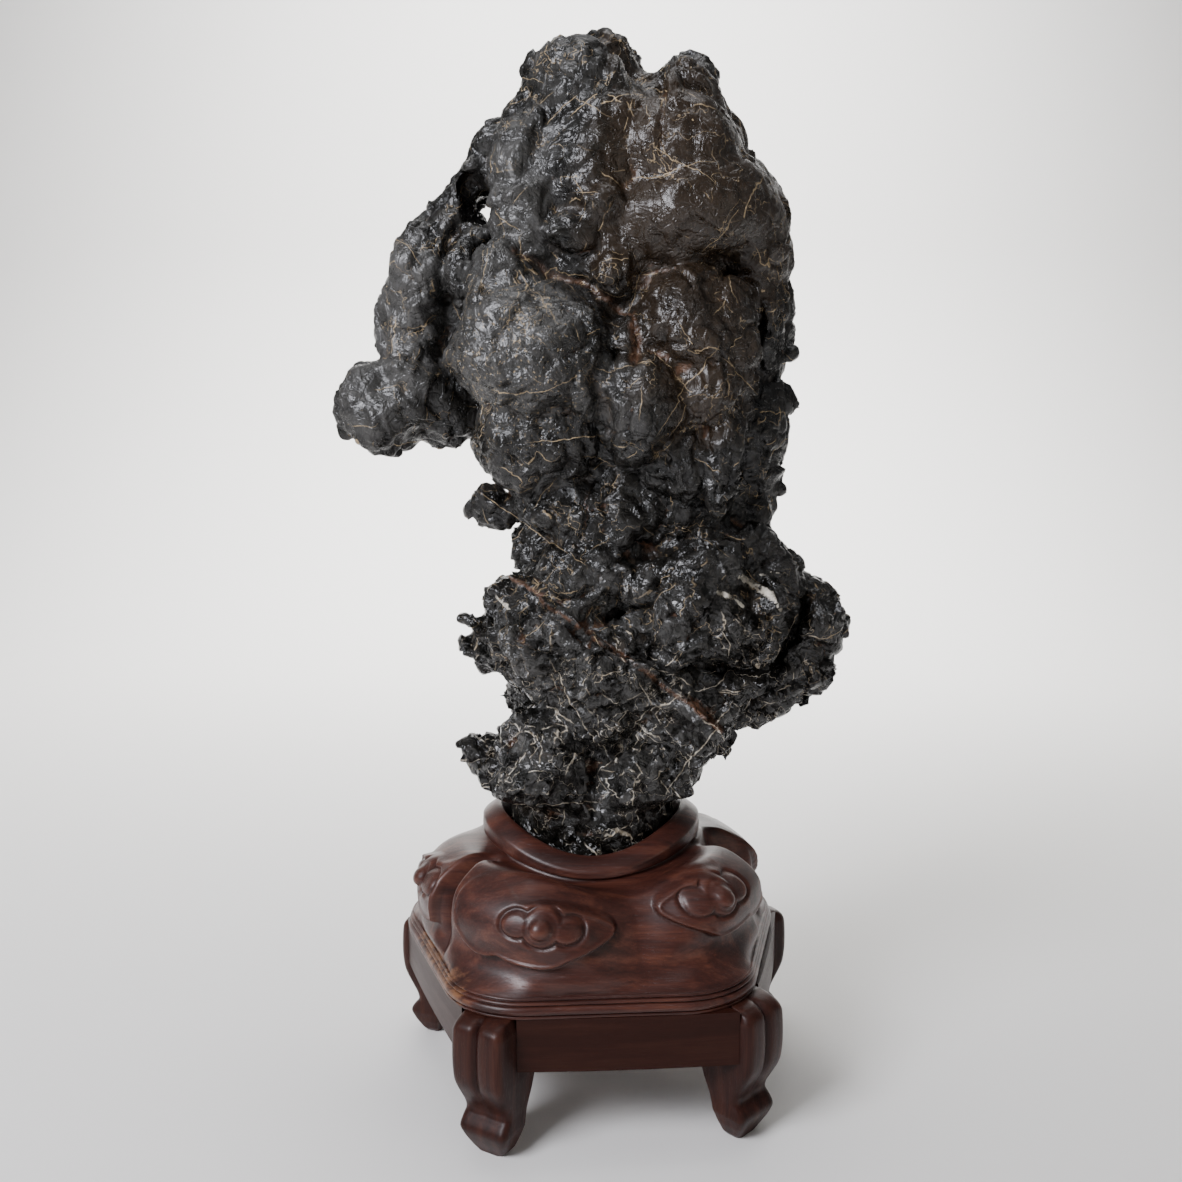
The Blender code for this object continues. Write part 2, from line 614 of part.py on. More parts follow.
def build_rock(material):
    noise.seed_set(NOISE_SEED)
    rock = merged_balls("rock", LUMPS, 10, material, SPURS.values())
    keep_largest_piece(rock.data)
    cutter = merged_balls("hollows", HOLLOWS, 3, material)
    cut = rock.modifiers.new("hollows", "BOOLEAN")
    cut.operation = "DIFFERENCE"
    cut.object = cutter
    even_skin(rock)
    soften = rock.modifiers.new("soften", "SMOOTH")
    soften.iterations = 2
    mesh = applied(rock)
    bpy.data.objects.remove(cutter)
    keep_largest_piece(mesh)

    points = np.array([v.co for v in mesh.vertices]) / MM
    normals = np.array([v.normal for v in mesh.vertices])
    push = np.array([stone_field(*p) for p in points])
    points = press_into_socket(points + normals * push[:, None])
    mesh.vertices.foreach_set("co", (points * MM).astype(np.float32).ravel())
    decimate(rock, ROCK_TRIANGLES)
    mesh = applied(rock)
    flatten_bottom(mesh)
    mesh.shade_smooth()
    return rock


def flatten_bottom(mesh):
    """Cuts the foot level and closes the cut."""
    bm = bmesh.new()
    bm.from_mesh(mesh)
    everything = bm.verts[:] + bm.edges[:] + bm.faces[:]
    cut = bmesh.ops.bisect_plane(bm, geom=everything, plane_co=(0, 0, ROCK_BOTTOM * MM),
                                 plane_no=(0, 0, -1), clear_outer=True)
    edges = [g for g in cut["geom_cut"] if isinstance(g, bmesh.types.BMEdge)]
    bmesh.ops.contextual_create(bm, geom=edges)
    bmesh.ops.triangulate(bm, faces=[f for f in bm.faces if len(f.verts) > 4])
    bm.to_mesh(mesh)
    bm.free()


def main():
    for obj in list(bpy.data.objects):
        bpy.data.objects.remove(obj)
    stone = surface_finish("black_stone", (0.012, 0.011, 0.011), 0.38)
    rosewood = surface_finish("dark_rosewood", (0.050, 0.018, 0.014), 0.36)
    build_rock(stone)
    build_stand_top(rosewood)
    for k in range(SIDES):
        build_apron(k, rosewood)
        build_leg(k, rosewood)


main()
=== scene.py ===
import math
import random

import bmesh
import bpy
import numpy as np
from mathutils import Matrix, Vector, noise


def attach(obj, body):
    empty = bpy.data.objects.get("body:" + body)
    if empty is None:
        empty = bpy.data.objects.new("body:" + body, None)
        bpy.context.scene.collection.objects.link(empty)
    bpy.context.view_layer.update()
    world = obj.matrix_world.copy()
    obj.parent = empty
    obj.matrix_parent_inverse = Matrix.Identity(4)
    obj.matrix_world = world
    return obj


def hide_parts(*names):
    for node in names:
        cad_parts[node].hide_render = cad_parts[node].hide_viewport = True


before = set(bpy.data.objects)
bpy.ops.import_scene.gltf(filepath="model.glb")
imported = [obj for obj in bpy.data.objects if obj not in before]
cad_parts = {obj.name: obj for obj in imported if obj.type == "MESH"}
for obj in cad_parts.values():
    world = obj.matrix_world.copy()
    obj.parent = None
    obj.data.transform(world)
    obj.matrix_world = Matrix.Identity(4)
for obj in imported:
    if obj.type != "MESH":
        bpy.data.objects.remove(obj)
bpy.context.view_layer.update()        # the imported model, whose one body is root
print("frame loaded,", len(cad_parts), "solids")

# Lengths are in millimetres until a mesh is made. +Z is up and -Y is the front.
mm = 0.001
standAxis = (0.0, -8.0)  # the stand's own axis; every piece is built around it


def hexColour(text):  # sRGB hex to linear, with alpha
    values = [int(text[i:i + 2], 16) / 255 for i in (1, 3, 5)]
    return [v / 12.92 if v <= 0.04045 else ((v + 0.055) / 1.055) ** 2.4 for v in values] + [1.0]


def addNode(tree, kind, settings=None, inputs=None):  # inputs takes plain values and other nodes' sockets
    node = tree.nodes.new(kind)
    for name, value in (settings or {}).items():
        setattr(node, name, value)
    for name, value in (inputs or {}).items():
        if isinstance(value, bpy.types.NodeSocket):
            tree.links.new(value, node.inputs[name])
        else:
            node.inputs[name].default_value = value
    return node


def emptyTree(name):  # a new material with nothing in it yet
    material = bpy.data.materials.new(name)
    material.use_nodes = True
    material.node_tree.nodes.clear()
    return material, material.node_tree


def smoothStep(low, high, value):
    t = np.clip((value - low) / (high - low), 0.0, 1.0)
    return t * t * (3 - 2 * t)


def curveThrough(points, steps):  # smooth line through the points; a doubled point is a sharp corner
    points = np.asarray(points, float)
    ends = np.vstack([2 * points[0] - points[1], points, 2 * points[-1] - points[-2]])
    out = []
    for i in range(1, len(ends) - 2):
        a, b, c, d = ends[i - 1:i + 3]
        if np.allclose(b, c):
            continue
        if np.allclose(a, b):
            a = 2 * b - c
        if np.allclose(c, d):
            d = 2 * c - b
        for t in np.arange(steps) / steps:
            out.append(0.5 * (2 * b + (c - a) * t + (2 * a - 5 * b + 4 * c - d) * t ** 2
                              + (3 * b - a - 3 * c + d) * t ** 3))
    out.append(points[-1])
    return np.array(out)


def placeObject(name, mesh, material, turn=0.0):
    obj = bpy.data.objects.new(name, mesh)
    bpy.context.scene.collection.objects.link(obj)
    obj.location = (standAxis[0] * mm, standAxis[1] * mm, 0)
    obj.rotation_euler.z = turn
    if material:
        mesh.materials.append(material)
    return obj


def stackedRings(name, rings):  # rings run from the top down, each anticlockwise seen from above
    rings = np.asarray(rings)
    count, around = rings.shape[:2]
    points = np.vstack([rings.reshape(-1, 3), rings[0].mean(axis=0), rings[-1].mean(axis=0)])
    faces = []
    for j in range(around):
        k = (j + 1) % around
        for i in range(count - 1):
            faces.append((i * around + j, (i + 1) * around + j, (i + 1) * around + k, i * around + k))
        faces.append((len(points) - 2, j, k))
        faces.append((len(points) - 1, (count - 1) * around + k, (count - 1) * around + j))
    mesh = bpy.data.meshes.new(name)
    mesh.from_pydata((points * mm).tolist(), [], faces)
    mesh.shade_smooth()
    return mesh


def finishPiece(obj, slot, *nodes):  # rides on the one body and stands for its CAD solids
    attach(obj, "root")
    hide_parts(*nodes)


def meshArray(collection, name, width):
    values = np.zeros(len(collection) * width, np.float32)
    collection.foreach_get(name, values)
    return values.reshape(-1, width).astype(float)


def hollowness(mesh, rounds):  # how far each point lies below the smoothed surface, in mm
    points = meshArray(mesh.vertices, "co", 3) / mm
    normals = meshArray(mesh.vertex_normals, "vector", 3)
    ends = np.zeros(len(mesh.edges) * 2, np.int32)
    mesh.edges.foreach_get("vertices", ends)
    first, second = ends.reshape(-1, 2).T
    count = np.bincount(first, minlength=len(points)) + np.bincount(second, minlength=len(points))
    smooth = points.copy()
    for _ in range(rounds):
        total = np.zeros_like(smooth)
        for axis in range(3):
            total[:, axis] += np.bincount(first, smooth[second, axis], len(points))
            total[:, axis] += np.bincount(second, smooth[first, axis], len(points))
        smooth = 0.5 * smooth + 0.5 * total / np.maximum(count, 1)[:, None]
    return ((smooth - points) * normals).sum(axis=1)


def storeMask(mesh, name, values):  # a painted mask that the material reads by name
    layer = mesh.attributes.new(name, "FLOAT", "POINT")
    layer.data.foreach_set("value", np.clip(values, 0, 1).astype(np.float32))


def nearRegion(points, centre, size):  # 1 inside an oval region, fading out at its edge
    away = np.linalg.norm((points - np.array(centre)) / np.array(size), axis=1)
    return 1 - smoothStep(0.55, 1.2, away)


def strongest(points, regions, mask):  # the mask, raised to each region's share of 1 where that is more
    for share, centre, size in regions:
        mask = np.maximum(mask, share * nearRegion(points, centre, size))
    return mask


# The carved top: one block of rosewood with a collar, a socket and five cloud-scroll waves.
collar = {
    "centre": (-6.0, -2.0),
    "size": (91.0, 80.0),       # outer edge, half width and half depth
    "socket": (74.0, 62.0),     # inner wall
    "floor": 186.0,
    "rimMean": 217.5,
    "rimWave": 12.5,            # the rim is high at left and right
}
moulding = {
    "sides": 5,
    "turn": 3.8,                # degrees that the front side faces to the right
    "flat": 146.0,
    "corner": 66.0,
    "top": 125.0,
    "bottom": 110.0,
    "stepBack": 14.0,
    "shift": -4.0,
    "steps": 14,                # rings between two points of the profile, before the idle ones go
    "around": 543,              # points in each ring
    "tanStart": (-176, -166), "tanEnd": (-132, -118),             # degrees where the front edge is bare
}
waves = [                       # direction, side the leaf points to, length, fullness
    (-108.5, 1, 1.0, 1.0), (-46.0, -1, 0.8, 1.0), (32.0, 1, 0.85, 0.88), (104.0, 1, 0.95, 0.8),
    (180.0, -1, 0.95, 0.90),
]
waveFold, waveFall = (-39, -30), (-6, 36)       # degrees over which a wave rises, and falls to its tip
cloud = {
    "places": [                 # direction and height of each boss, its leaf's length and blunt end
        (-104.8, 175.7, 1.0, -90), (-44.8, 185.5, 0.86, -90), (35.0, 178.0, 0.9, -90),
        (107.5, 177.0, 0.95, -90), (195.5, 178.5, 0.95, -35),
    ],
    "reach": 138.0,             # axis to the carved surface
    "leaf": [(57, -6), (57, -6), (54, -11), (42, -16), (23, -22.5), (8, -29.5), (-7, -30.5), (-25, -28.5),
             (-34, -26), (-34, -26), (-45, -28.5), (-56, -27), (-68, -19), (-74, -2), (-76, 14), (-66, 24),
             (-40, 24), (-18, 15.5), (0, 15.8), (14, 12.6), (35, 6.4), (52, -1), (57, -6)],
    "leafRaise": 6.0,
    "edgeRaise": 1.2, "edgeWidth": 1.6,           # the leaf's edge stands up a little
    "lobes": ((0.0, 0.0, 14.8, 14.8), (-18.5, 1.0, 12.5, 10.0), (19.0, -3.0, 12.0, 9.5)),   # centre, halves
    "lobeRaise": 0.8,
    "lineWidth": 1.4, "lineDepth": 2.6,           # the knife cut round the cloud
    "ring": 10.4, "ringWidth": 1.1, "ringDepth": 0.9,             # the line round the boss
    "boss": 7.4, "bossRaise": 5.0,
}


def cornerAngle(k):
    side = 360 / moulding["sides"]
    return math.radians(moulding["turn"] - 90 - side / 2 + side * k)


def sideRadius(angle, flat, corner):  # axis to a regular five-sided outline with round corners
    half = math.pi / moulding["sides"]
    off = abs((angle - cornerAngle(0) + half) % (2 * half) - half)
    cornerOut = (flat - corner) / math.cos(half)
    if math.tan(half - off) * flat >= cornerOut * math.sin(half):
        return cornerOut * math.cos(off) + math.sqrt(corner ** 2 - (cornerOut * math.sin(off)) ** 2)
    return flat / math.cos(half - off)


def ovalRadius(angle, halfSizes):
    return 1.0 / math.hypot(math.cos(angle) / halfSizes[0], math.sin(angle) / halfSizes[1])


def mixed(full, none, share):  # full at a share of 1, none at 0
    return full * share + none * (1 - share)


def fromCloud(angle, centre, side, length):  # degrees from a cloud's middle towards its leaf's tip
    return side * ((math.degrees(angle) - centre + 180) % 360 - 180) / length


def wave(angle):  # 1 where a wave stands full, falling steeply at its fold and slowly to its tip
    best = 0.0
    for centre, side, length, fullness in waves:
        off = fromCloud(angle, centre, side, length)
        best = max(best, fullness * float(smoothStep(*waveFold, off) * (1 - smoothStep(*waveFall, off))))
    return best


def topProfile(angle):  # radius, height and collar share, from the socket floor to the underside
    socket = ovalRadius(angle, collar["socket"])
    outer = ovalRadius(angle, collar["size"])
    ears = 0.5 + 0.5 * math.cos(2 * angle)
    rim = collar["rimMean"] + collar["rimWave"] * math.cos(2 * angle)
    edge = sideRadius(angle, moulding["flat"], moulding["corner"])
    share = wave(angle)
    floor, top, bottom = collar["floor"], moulding["top"], moulding["bottom"]
    inside = [
        (socket - 6, floor), (socket - 6, floor), (socket - 1, floor + 5), (socket + 1, rim - 4),
        (socket + 4, rim), (mixed(socket, outer, 0.45), rim - 2.5), (outer - 1, rim - 8), (outer, rim - 12),
        (outer, rim - mixed(21, 14, ears)), (outer - 3, rim - mixed(24, 15, ears)),
    ]
    slope = [
        (outer + 3, rim - mixed(26, 18, ears)),
        (mixed(112, 103, share), mixed(204, 182, share)),
        (mixed(128, 114, share), mixed(197, 168, share)),
        (mixed(139, 122, share), mixed(185, 155, share)),
        (mixed(142, 129, share), mixed(169, 144, share)),
        (mixed(140, 136, share), mixed(152, 135, share)),
        (mixed(145, edge - 9, share), mixed(137, 129, share)),
    ]
    beads = [                   # two thin beads, a broad round and a thin lip
        (edge - 6, top + 0.6), (edge - 4.2, top), (edge - 3, top - 1.3), (edge - 4.4, top - 2.7),
        (edge - 4.4, top - 2.7), (edge - 2.4, top - 3.5), (edge - 1.8, top - 4.8), (edge - 3.4, top - 6.1),
        (edge - 3.4, top - 6.1), (edge - 1.2, top - 7), (edge, top - 9.4), (edge - 0.3, top - 11.8),
        (edge - 2.2, bottom + 2.2), (edge - 2.2, bottom + 2.2), (edge - 0.8, bottom + 1.5),
        (edge - 0.8, bottom), (edge - 0.8, bottom), (edge - moulding["stepBack"], bottom),
    ]
    steps = moulding["steps"]
    line = curveThrough(inside + slope + beads, steps)
    fadeFrom, fadeTo = (len(inside) + 3) * steps, (len(inside) + len(slope)) * steps
    onCollar = 1 - smoothStep(fadeFrom, fadeTo, np.arange(len(line)))
    kept = []               # all rings on the carved slope, fewer elsewhere
    for i in range(len(line)):
        segment = i // steps
        onSlope = len(inside) - 1 <= segment < len(inside) + len(slope)
        if onSlope or i == len(line) - 1 or i % steps % (4 if segment < len(inside) else 3) == 0:
            kept.append(i)
    return np.column_stack([line, onCollar])[kept]


def depthInside(along, up, outline):  # distance to a closed line, positive inside it
    along, up = np.broadcast_arrays(along, up)
    nearest = np.full(along.shape, 1e9)
    inside = np.zeros(along.shape, bool)
    for (x0, y0), (x1, y1) in zip(outline, np.roll(outline, -1, axis=0)):
        length = (x1 - x0) ** 2 + (y1 - y0) ** 2 + 1e-12
        share = np.clip(((along - x0) * (x1 - x0) + (up - y0) * (y1 - y0)) / length, 0, 1)
        away = np.hypot(along - x0 - share * (x1 - x0), up - y0 - share * (y1 - y0))
        nearest = np.minimum(nearest, away)
        crosses = (y0 > up) != (y1 > up)
        inside ^= crosses & (along < (x1 - x0) * (up - y0) / (y1 - y0 + 1e-12) + x0)
    return np.where(inside, nearest, -nearest)


def cloudRelief(along, up, length, blunt):  # a boss in a ring, on three lobes, on a leaf with crisp edges
    leaf = depthInside(along / length, up, curveThrough(cloud["leaf"], 5)[:-1])
    leaf = np.minimum(leaf, along - blunt)
    merging = smoothStep(-8, 22, up) * (1 - smoothStep(-22, 6, along))    # into the wave behind its top
    height = cloud["leafRaise"] * smoothStep(-1.2, 1.2, leaf) * (1 - 0.85 * merging)
    edge = np.exp(-((leaf - cloud["edgeWidth"]) / cloud["edgeWidth"]) ** 2)
    height = height + cloud["edgeRaise"] * edge * (1 - merging)
    lobes = np.full(np.broadcast(along, up).shape, -1e9)
    for centre, rise, half, tall in cloud["lobes"]:
        inside = 1 - np.hypot((along - centre) / half, (up - rise) / tall)
        lobes = np.maximum(lobes, inside * min(half, tall))
    height = height + cloud["lobeRaise"] * smoothStep(0, 4, lobes)
    height = height - cloud["lineDepth"] * np.exp(-(lobes / cloud["lineWidth"]) ** 2)
    away = np.hypot(along, up)
    height = height - cloud["ringDepth"] * np.exp(-((away - cloud["ring"]) / cloud["ringWidth"]) ** 2)
    boss = 1 - (away / cloud["boss"]) ** 2
    return height + cloud["bossRaise"] * np.sqrt(np.clip(boss, 0, 1))


def fromBoss(angle, direction, side):  # mm round the stand from a boss towards its leaf's tip
    return side * math.radians((math.degrees(angle) - direction + 180) % 360 - 180) * cloud["reach"]


def carvedAngles(count):  # directions round the top, about three times denser across the clouds
    fine = np.linspace(0, 2 * math.pi, 3601)
    dense = np.zeros(len(fine))
    for (direction, *_), (_, side, *_) in zip(cloud["places"], waves):
        off = np.array([fromBoss(a, direction, side) for a in fine])
        dense = np.maximum(dense, smoothStep(-90, -76, off) * (1 - smoothStep(58, 68, off)))
    reach = np.concatenate([[0], np.cumsum(1 + 2.2 * dense[1:])])
    return np.interp(np.arange(count) / count * reach[-1], reach, fine)


def paintWood(mesh, rounds, wornAndSheen=None):  # masks for rubbed edges, lighter partly as painted highlight, and for hollows darkened as painted shade
    recess = hollowness(mesh, rounds)
    # the hollows, which the wood's colour darkens as painted shade
    storeMask(mesh, "recess", smoothStep(0.05, 0.7, recess))
    # convex edges, lighter in the colour: handling wear and painted highlight
    storeMask(mesh, "rubbedAndHighlit", smoothStep(0.08, 0.6, -recess))
    points = meshArray(mesh.vertices, "co", 3) / mm
    storeMask(mesh, "wornAndSheen", np.zeros(len(points)) if wornAndSheen is None else wornAndSheen(points))


def wornMoulding(points):  # the left front edge, where hands lift the stand, is rubbed to tan wood
    x, y, z = points.T
    out = np.hypot(x, y)
    turn = np.degrees(np.arctan2(y, x))
    aside = smoothStep(*moulding["tanStart"], turn) * (1 - smoothStep(*moulding["tanEnd"], turn))
    return aside * smoothStep(132, 140, out) * smoothStep(104, 112, z) * (1 - smoothStep(128, 140, z))


def buildStandTop(material):
    angles = carvedAngles(moulding["around"])
    profiles = np.array([topProfile(a) for a in angles])
    radius, height, onCollar = profiles[..., 0], profiles[..., 1], profiles[..., 2]
    carved = (radius > collar["size"][0] + 6) & (height > moulding["top"] + 6)
    for (direction, rise, length, blunt), (_, side, *_) in zip(cloud["places"], waves):
        along = np.array([fromBoss(a, direction, side) for a in angles])[:, None]
        radius = radius + cloudRelief(along, height - rise, length, blunt) * carved
    x = mixed(collar["centre"][0], moulding["shift"], onCollar) + radius * np.cos(angles)[:, None]
    y = collar["centre"][1] * onCollar + radius * np.sin(angles)[:, None]
    mesh = stackedRings("carvedTop", np.stack([x, y, height], axis=-1).transpose(1, 0, 2))
    paintWood(mesh, 6, wornMoulding)
    finishPiece(placeObject("carvedTop", mesh, material), "rosewood", "stand_top")
    print("carved top:", profiles.shape[:2], "grid")


apron = {"flat": 143.5, "bottom": 68.5, "thick": 16.0, "bulge": 2.0, "edgeRound": 1.2, "gap": 0.3}
leg = {
    "directions": (-120.5, -45.0, 25.0, 94.0, 160.0),   # front left first
    "halfWidth": 22.5,
    "top": 109.7,
    "outside": [(162, 109.7), (170, 108.5), (177, 105), (180, 98), (181, 80), (180, 66), (177.5, 57),
                (171.5, 46), (167, 38), (166, 32), (170, 27), (173, 21), (170, 13), (165, 4), (163, 0)],
    "inside": [(149, 0), (148, 5), (145.5, 14), (142, 25), (138, 36), (134, 46), (131, 58), (130, 70),
               (130, 109.7)],
    "narrowing": [(0, 0.5), (4, 0.68), (12, 0.84), (21, 0.96), (31, 0.92), (60, 1), (100, 1), (109.7, 0.86)],
    "cornerRound": 5.5,
    "groove": [(0, 0), (30, 0), (46, 1.2), (60, 2.4), (98, 2.8), (109.7, 5.5)],   # between the two lobes
    "grooveWidth": 2.4,
    "rings": 80,
    "edgeRings": (0.4, 1.2),    # and extra ones this far from the top and the foot
}


def buildApron(k, material):  # the bowed board between leg k and the next
    middle = cornerAngle(k) + math.pi / moulding["sides"]

    def end(flat, number):
        turn = math.radians(leg["directions"][number % moulding["sides"]]) - middle
        turn = (turn + math.pi) % (2 * math.pi) - math.pi
        halfLeg = math.copysign(leg["halfWidth"] + apron["gap"], turn)
        return (flat * math.sin(turn) - halfLeg) / math.cos(turn)

    steps = 24
    outline = []
    front, back = apron["flat"], apron["flat"] - apron["thick"]
    for flat, order in ((front, range(steps + 1)), (back, range(steps, -1, -1))):
        low, high = end(flat, k), end(flat, k + 1)
        for i in order:
            share = i / steps
            outline.append((flat + apron["bulge"] * 4 * share * (1 - share), low + (high - low) * share))
    count = len(outline)
    bm = bmesh.new()
    levels = (apron["bottom"], leg["top"])
    rows = [[bm.verts.new((x * mm, y * mm, z * mm)) for x, y in outline] for z in levels]
    for i in range(count):
        j = (i + 1) % count
        bm.faces.new((rows[0][i], rows[0][j], rows[1][j], rows[1][i]))
    for i in range(steps):
        j = count - 1 - i
        bm.faces.new((rows[0][i], rows[0][j], rows[0][j - 1], rows[0][i + 1]))
        bm.faces.new((rows[1][i], rows[1][i + 1], rows[1][j - 1], rows[1][j]))
    lower = [e for e in bm.edges if all(v in rows[0] for v in e.verts) and e.calc_face_angle(0) > 0.5]
    bmesh.ops.bevel(bm, geom=lower, offset=apron["edgeRound"] * mm, segments=3, profile=0.5, affect="EDGES")
    mesh = bpy.data.meshes.new(f"apronBoard{k + 1}")
    bm.to_mesh(mesh)
    bm.free()
    mesh.shade_smooth()
    mesh.set_sharp_from_angle(angle=math.radians(40))
    paintWood(mesh, 1)
    finishPiece(placeObject(f"apronBoard{k + 1}", mesh, material, middle), "rosewood", f"apron_{k + 1}")


def legSlice(z, outside, inside):  # one level outline: two soft lobes in front, a flat back
    far = float(np.interp(z, outside[:, 1], outside[:, 0]))
    near = float(np.interp(z, inside[:, 1], inside[:, 0]))
    half = leg["halfWidth"] * float(np.interp(z, *zip(*leg["narrowing"])))
    groove = float(np.interp(z, *zip(*leg["groove"])))
    soft = min(leg["cornerRound"], (far - near) / 3)
    sides = []
    for y in half * np.sin(np.linspace(0, math.pi / 2, 15)):
        over = max(0.0, y - (half - soft))
        crown = min(1.0, groove) * (1 - (2 * y / half - 1) ** 2)       # each lobe is slightly round
        corner = soft - math.sqrt(max(soft ** 2 - over ** 2, 0.0))
        cut = groove * math.exp(-(y / leg["grooveWidth"]) ** 2)
        sides.append((far - min(1.0, groove) + crown - corner - cut, y))
    back = [(x, half) for x in np.linspace(far - soft - 4, near + 3, 5)]
    back += [(near + 1, half - 1), (near, half - 3)]
    left = [(x, y, z) for x, y in sides[1:] + back]
    right = [(x, -y, z) for x, y in (sides[1:] + back)[::-1]]
    return [(*sides[0], z)] + left + right


def buildLeg(k, material):
    outside = curveThrough(leg["outside"], 8)[::-1]
    inside = curveThrough(leg["inside"], 8)
    outside, inside = (line[np.argsort(line[:, 1])] for line in (outside, inside))
    levels = leg["top"] * (1 - np.linspace(0, 1, leg["rings"]))
    more = [level for inset in leg["edgeRings"] for level in (leg["top"] - inset, inset)]
    levels = np.sort(np.concatenate([levels, more]))[::-1]
    mesh = stackedRings(f"cabrioleLeg{k + 1}", [legSlice(z, outside, inside) for z in levels])
    mesh.set_sharp_from_angle(angle=math.radians(55))
    paintWood(mesh, 5)
    turn = math.radians(leg["directions"][k])
    finishPiece(placeObject(f"cabrioleLeg{k + 1}", mesh, material, turn), "rosewood", f"leg_{k + 1}")


woodLook = {
    "dark": "#2a1410",
    "body": "#40211a",
    "light": "#573226",
    "deep": "#120504",          # painted shade, heavier on the legs and boards, which stand in shadow under the top
    "tan": "#7d583c",           # bare wood where the stain is rubbed through
    "ior": 1.52,
    "shine": 0.3,
    "roughness": 0.36,
    "roughnessSpread": (0.1, -0.06),              # more in the dark streaks, less in the light ones
    "oil": 0.08, "oilRoughness": 0.25,            # a thin coat of oil
    # mm across and along: fine grain, broad dark and light streaks, and pores, which are drawn
    # coarser than the real ones, so that they show
    "grain": (1.4, 38.0), "figure": (11.0, 170.0), "pore": (0.7, 9.0),
    "grainInTone": 0.35, "wornInTone": 0.55,
    # the tone at which each colour starts and is full, how full it is, and how it comes in
    "tones": {"body": (0.5, 0.72, 1.0, "LINEAR"), "light": (0.7, 0.9, 1.0, "LINEAR"),
              "tan": (1.05, 1.4, 0.85, "SMOOTHSTEP")},
    "edgeWearAndHighlight": 0.45,        # how light rubbed edges are, partly as painted highlight, and how dark the recesses are painted as shade
    "shadeInRecesses": 0.6,
    "bumps": (("pore", 0.35, 0.0003), ("grain", 0.3, 0.0003)),    # strength and metres
}


# Rosewood, carved, stained dark and rubbed with oil: a satin purple-brown with long dark figure,
# fine open pores along the grain and paler edges, from handling and from painted highlight; painted shade
# darkens the hollows and the pieces that stand in shadow.
def rosewoodMaterial(name, along, depth):  # the axis the grain runs along, 0 to 2, and how much painted shade darkens it
    look = woodLook
    material, tree = emptyTree(name)
    place = addNode(tree, "ShaderNodeTexCoord").outputs["Object"]
    masks, grains, shares = {}, {}, {}
    for mask in ("recess", "rubbedAndHighlit", "wornAndSheen"):
        masks[mask] = addNode(tree, "ShaderNodeAttribute", {"attribute_name": mask}).outputs["Fac"]
    for kind in ("grain", "figure", "pore"):
        across, length = look[kind]
        scale = [1000 / across] * 3
        scale[along] = 1000 / length
        stretched = addNode(tree, "ShaderNodeVectorMath", {"operation": "MULTIPLY"}, {0: place, 1: scale})
        grains[kind] = addNode(tree, "ShaderNodeTexNoise", None,
                               {"Vector": stretched.outputs[0], "Scale": 1.0, "Detail": 4.0, "Roughness": 0.6,
                                "Distortion": 0.4}).outputs["Fac"]
    tone = addNode(tree, "ShaderNodeMath", {"operation": "MULTIPLY_ADD"},
                   {0: grains["grain"], 1: look["grainInTone"], 2: grains["figure"]}).outputs[0]
    wornTone = addNode(tree, "ShaderNodeMath", {"operation": "MULTIPLY_ADD"},
                       {0: masks["wornAndSheen"], 1: look["wornInTone"], 2: tone}).outputs[0]
    for paint, (low, high, most, ease) in look["tones"].items():
        shares[paint] = addNode(tree, "ShaderNodeMapRange", {"interpolation_type": ease},
                                {"Value": wornTone if paint == "tan" else tone, "From Min": low,
                                 "From Max": high, "To Max": most}).outputs[0]
    # lighter rubbed edges, partly painted highlight, and painted shade in the recesses
    for mask, amount in (("rubbedAndHighlit", look["edgeWearAndHighlight"]), ("recess", look["shadeInRecesses"])):
        shares[mask] = addNode(tree, "ShaderNodeMath", {"operation": "MULTIPLY"},
                               {0: masks[mask], 1: amount}).outputs[0]
    colour = hexColour(look["dark"])
    for share, paint in ((shares["body"], "body"), (shares["light"], "light"), (shares["rubbedAndHighlit"], "light"),
                         (shares["tan"], "tan"), (shares["recess"], "dark"), (depth, "deep")):
        colour = addNode(tree, "ShaderNodeMix", {"data_type": "RGBA"},
                         {0: share, 6: colour, 7: hexColour(look[paint])}).outputs[2]
    grains["pore"] = addNode(tree, "ShaderNodeMapRange", {"interpolation_type": "SMOOTHSTEP"},
                             {"Value": grains["pore"], "From Min": 0.30, "From Max": 0.42}).outputs[0]
    roughness = addNode(tree, "ShaderNodeMapRange", None,
                        {"Value": grains["figure"],
                         "To Min": look["roughness"] + look["roughnessSpread"][0],
                         "To Max": look["roughness"] + look["roughnessSpread"][1]}).outputs[0]
    normal = None
    for kind, strength, distance in look["bumps"]:
        relief = {"Strength": strength, "Distance": distance, "Height": grains[kind]}
        if normal:
            relief["Normal"] = normal
        normal = addNode(tree, "ShaderNodeBump", None, relief).outputs[0]
    shader = addNode(tree, "ShaderNodeBsdfPrincipled", None,
                     {"Base Color": colour, "Roughness": roughness, "IOR": look["ior"], "Metallic": 0.0,
                      "Specular IOR Level": look["shine"] * (1 - depth),
                      "Coat Weight": look["oil"] * (1 - depth), "Coat Roughness": look["oilRoughness"],
                      "Normal": normal})
    addNode(tree, "ShaderNodeOutputMaterial", None, {"Surface": shader.outputs[0]})
    return material


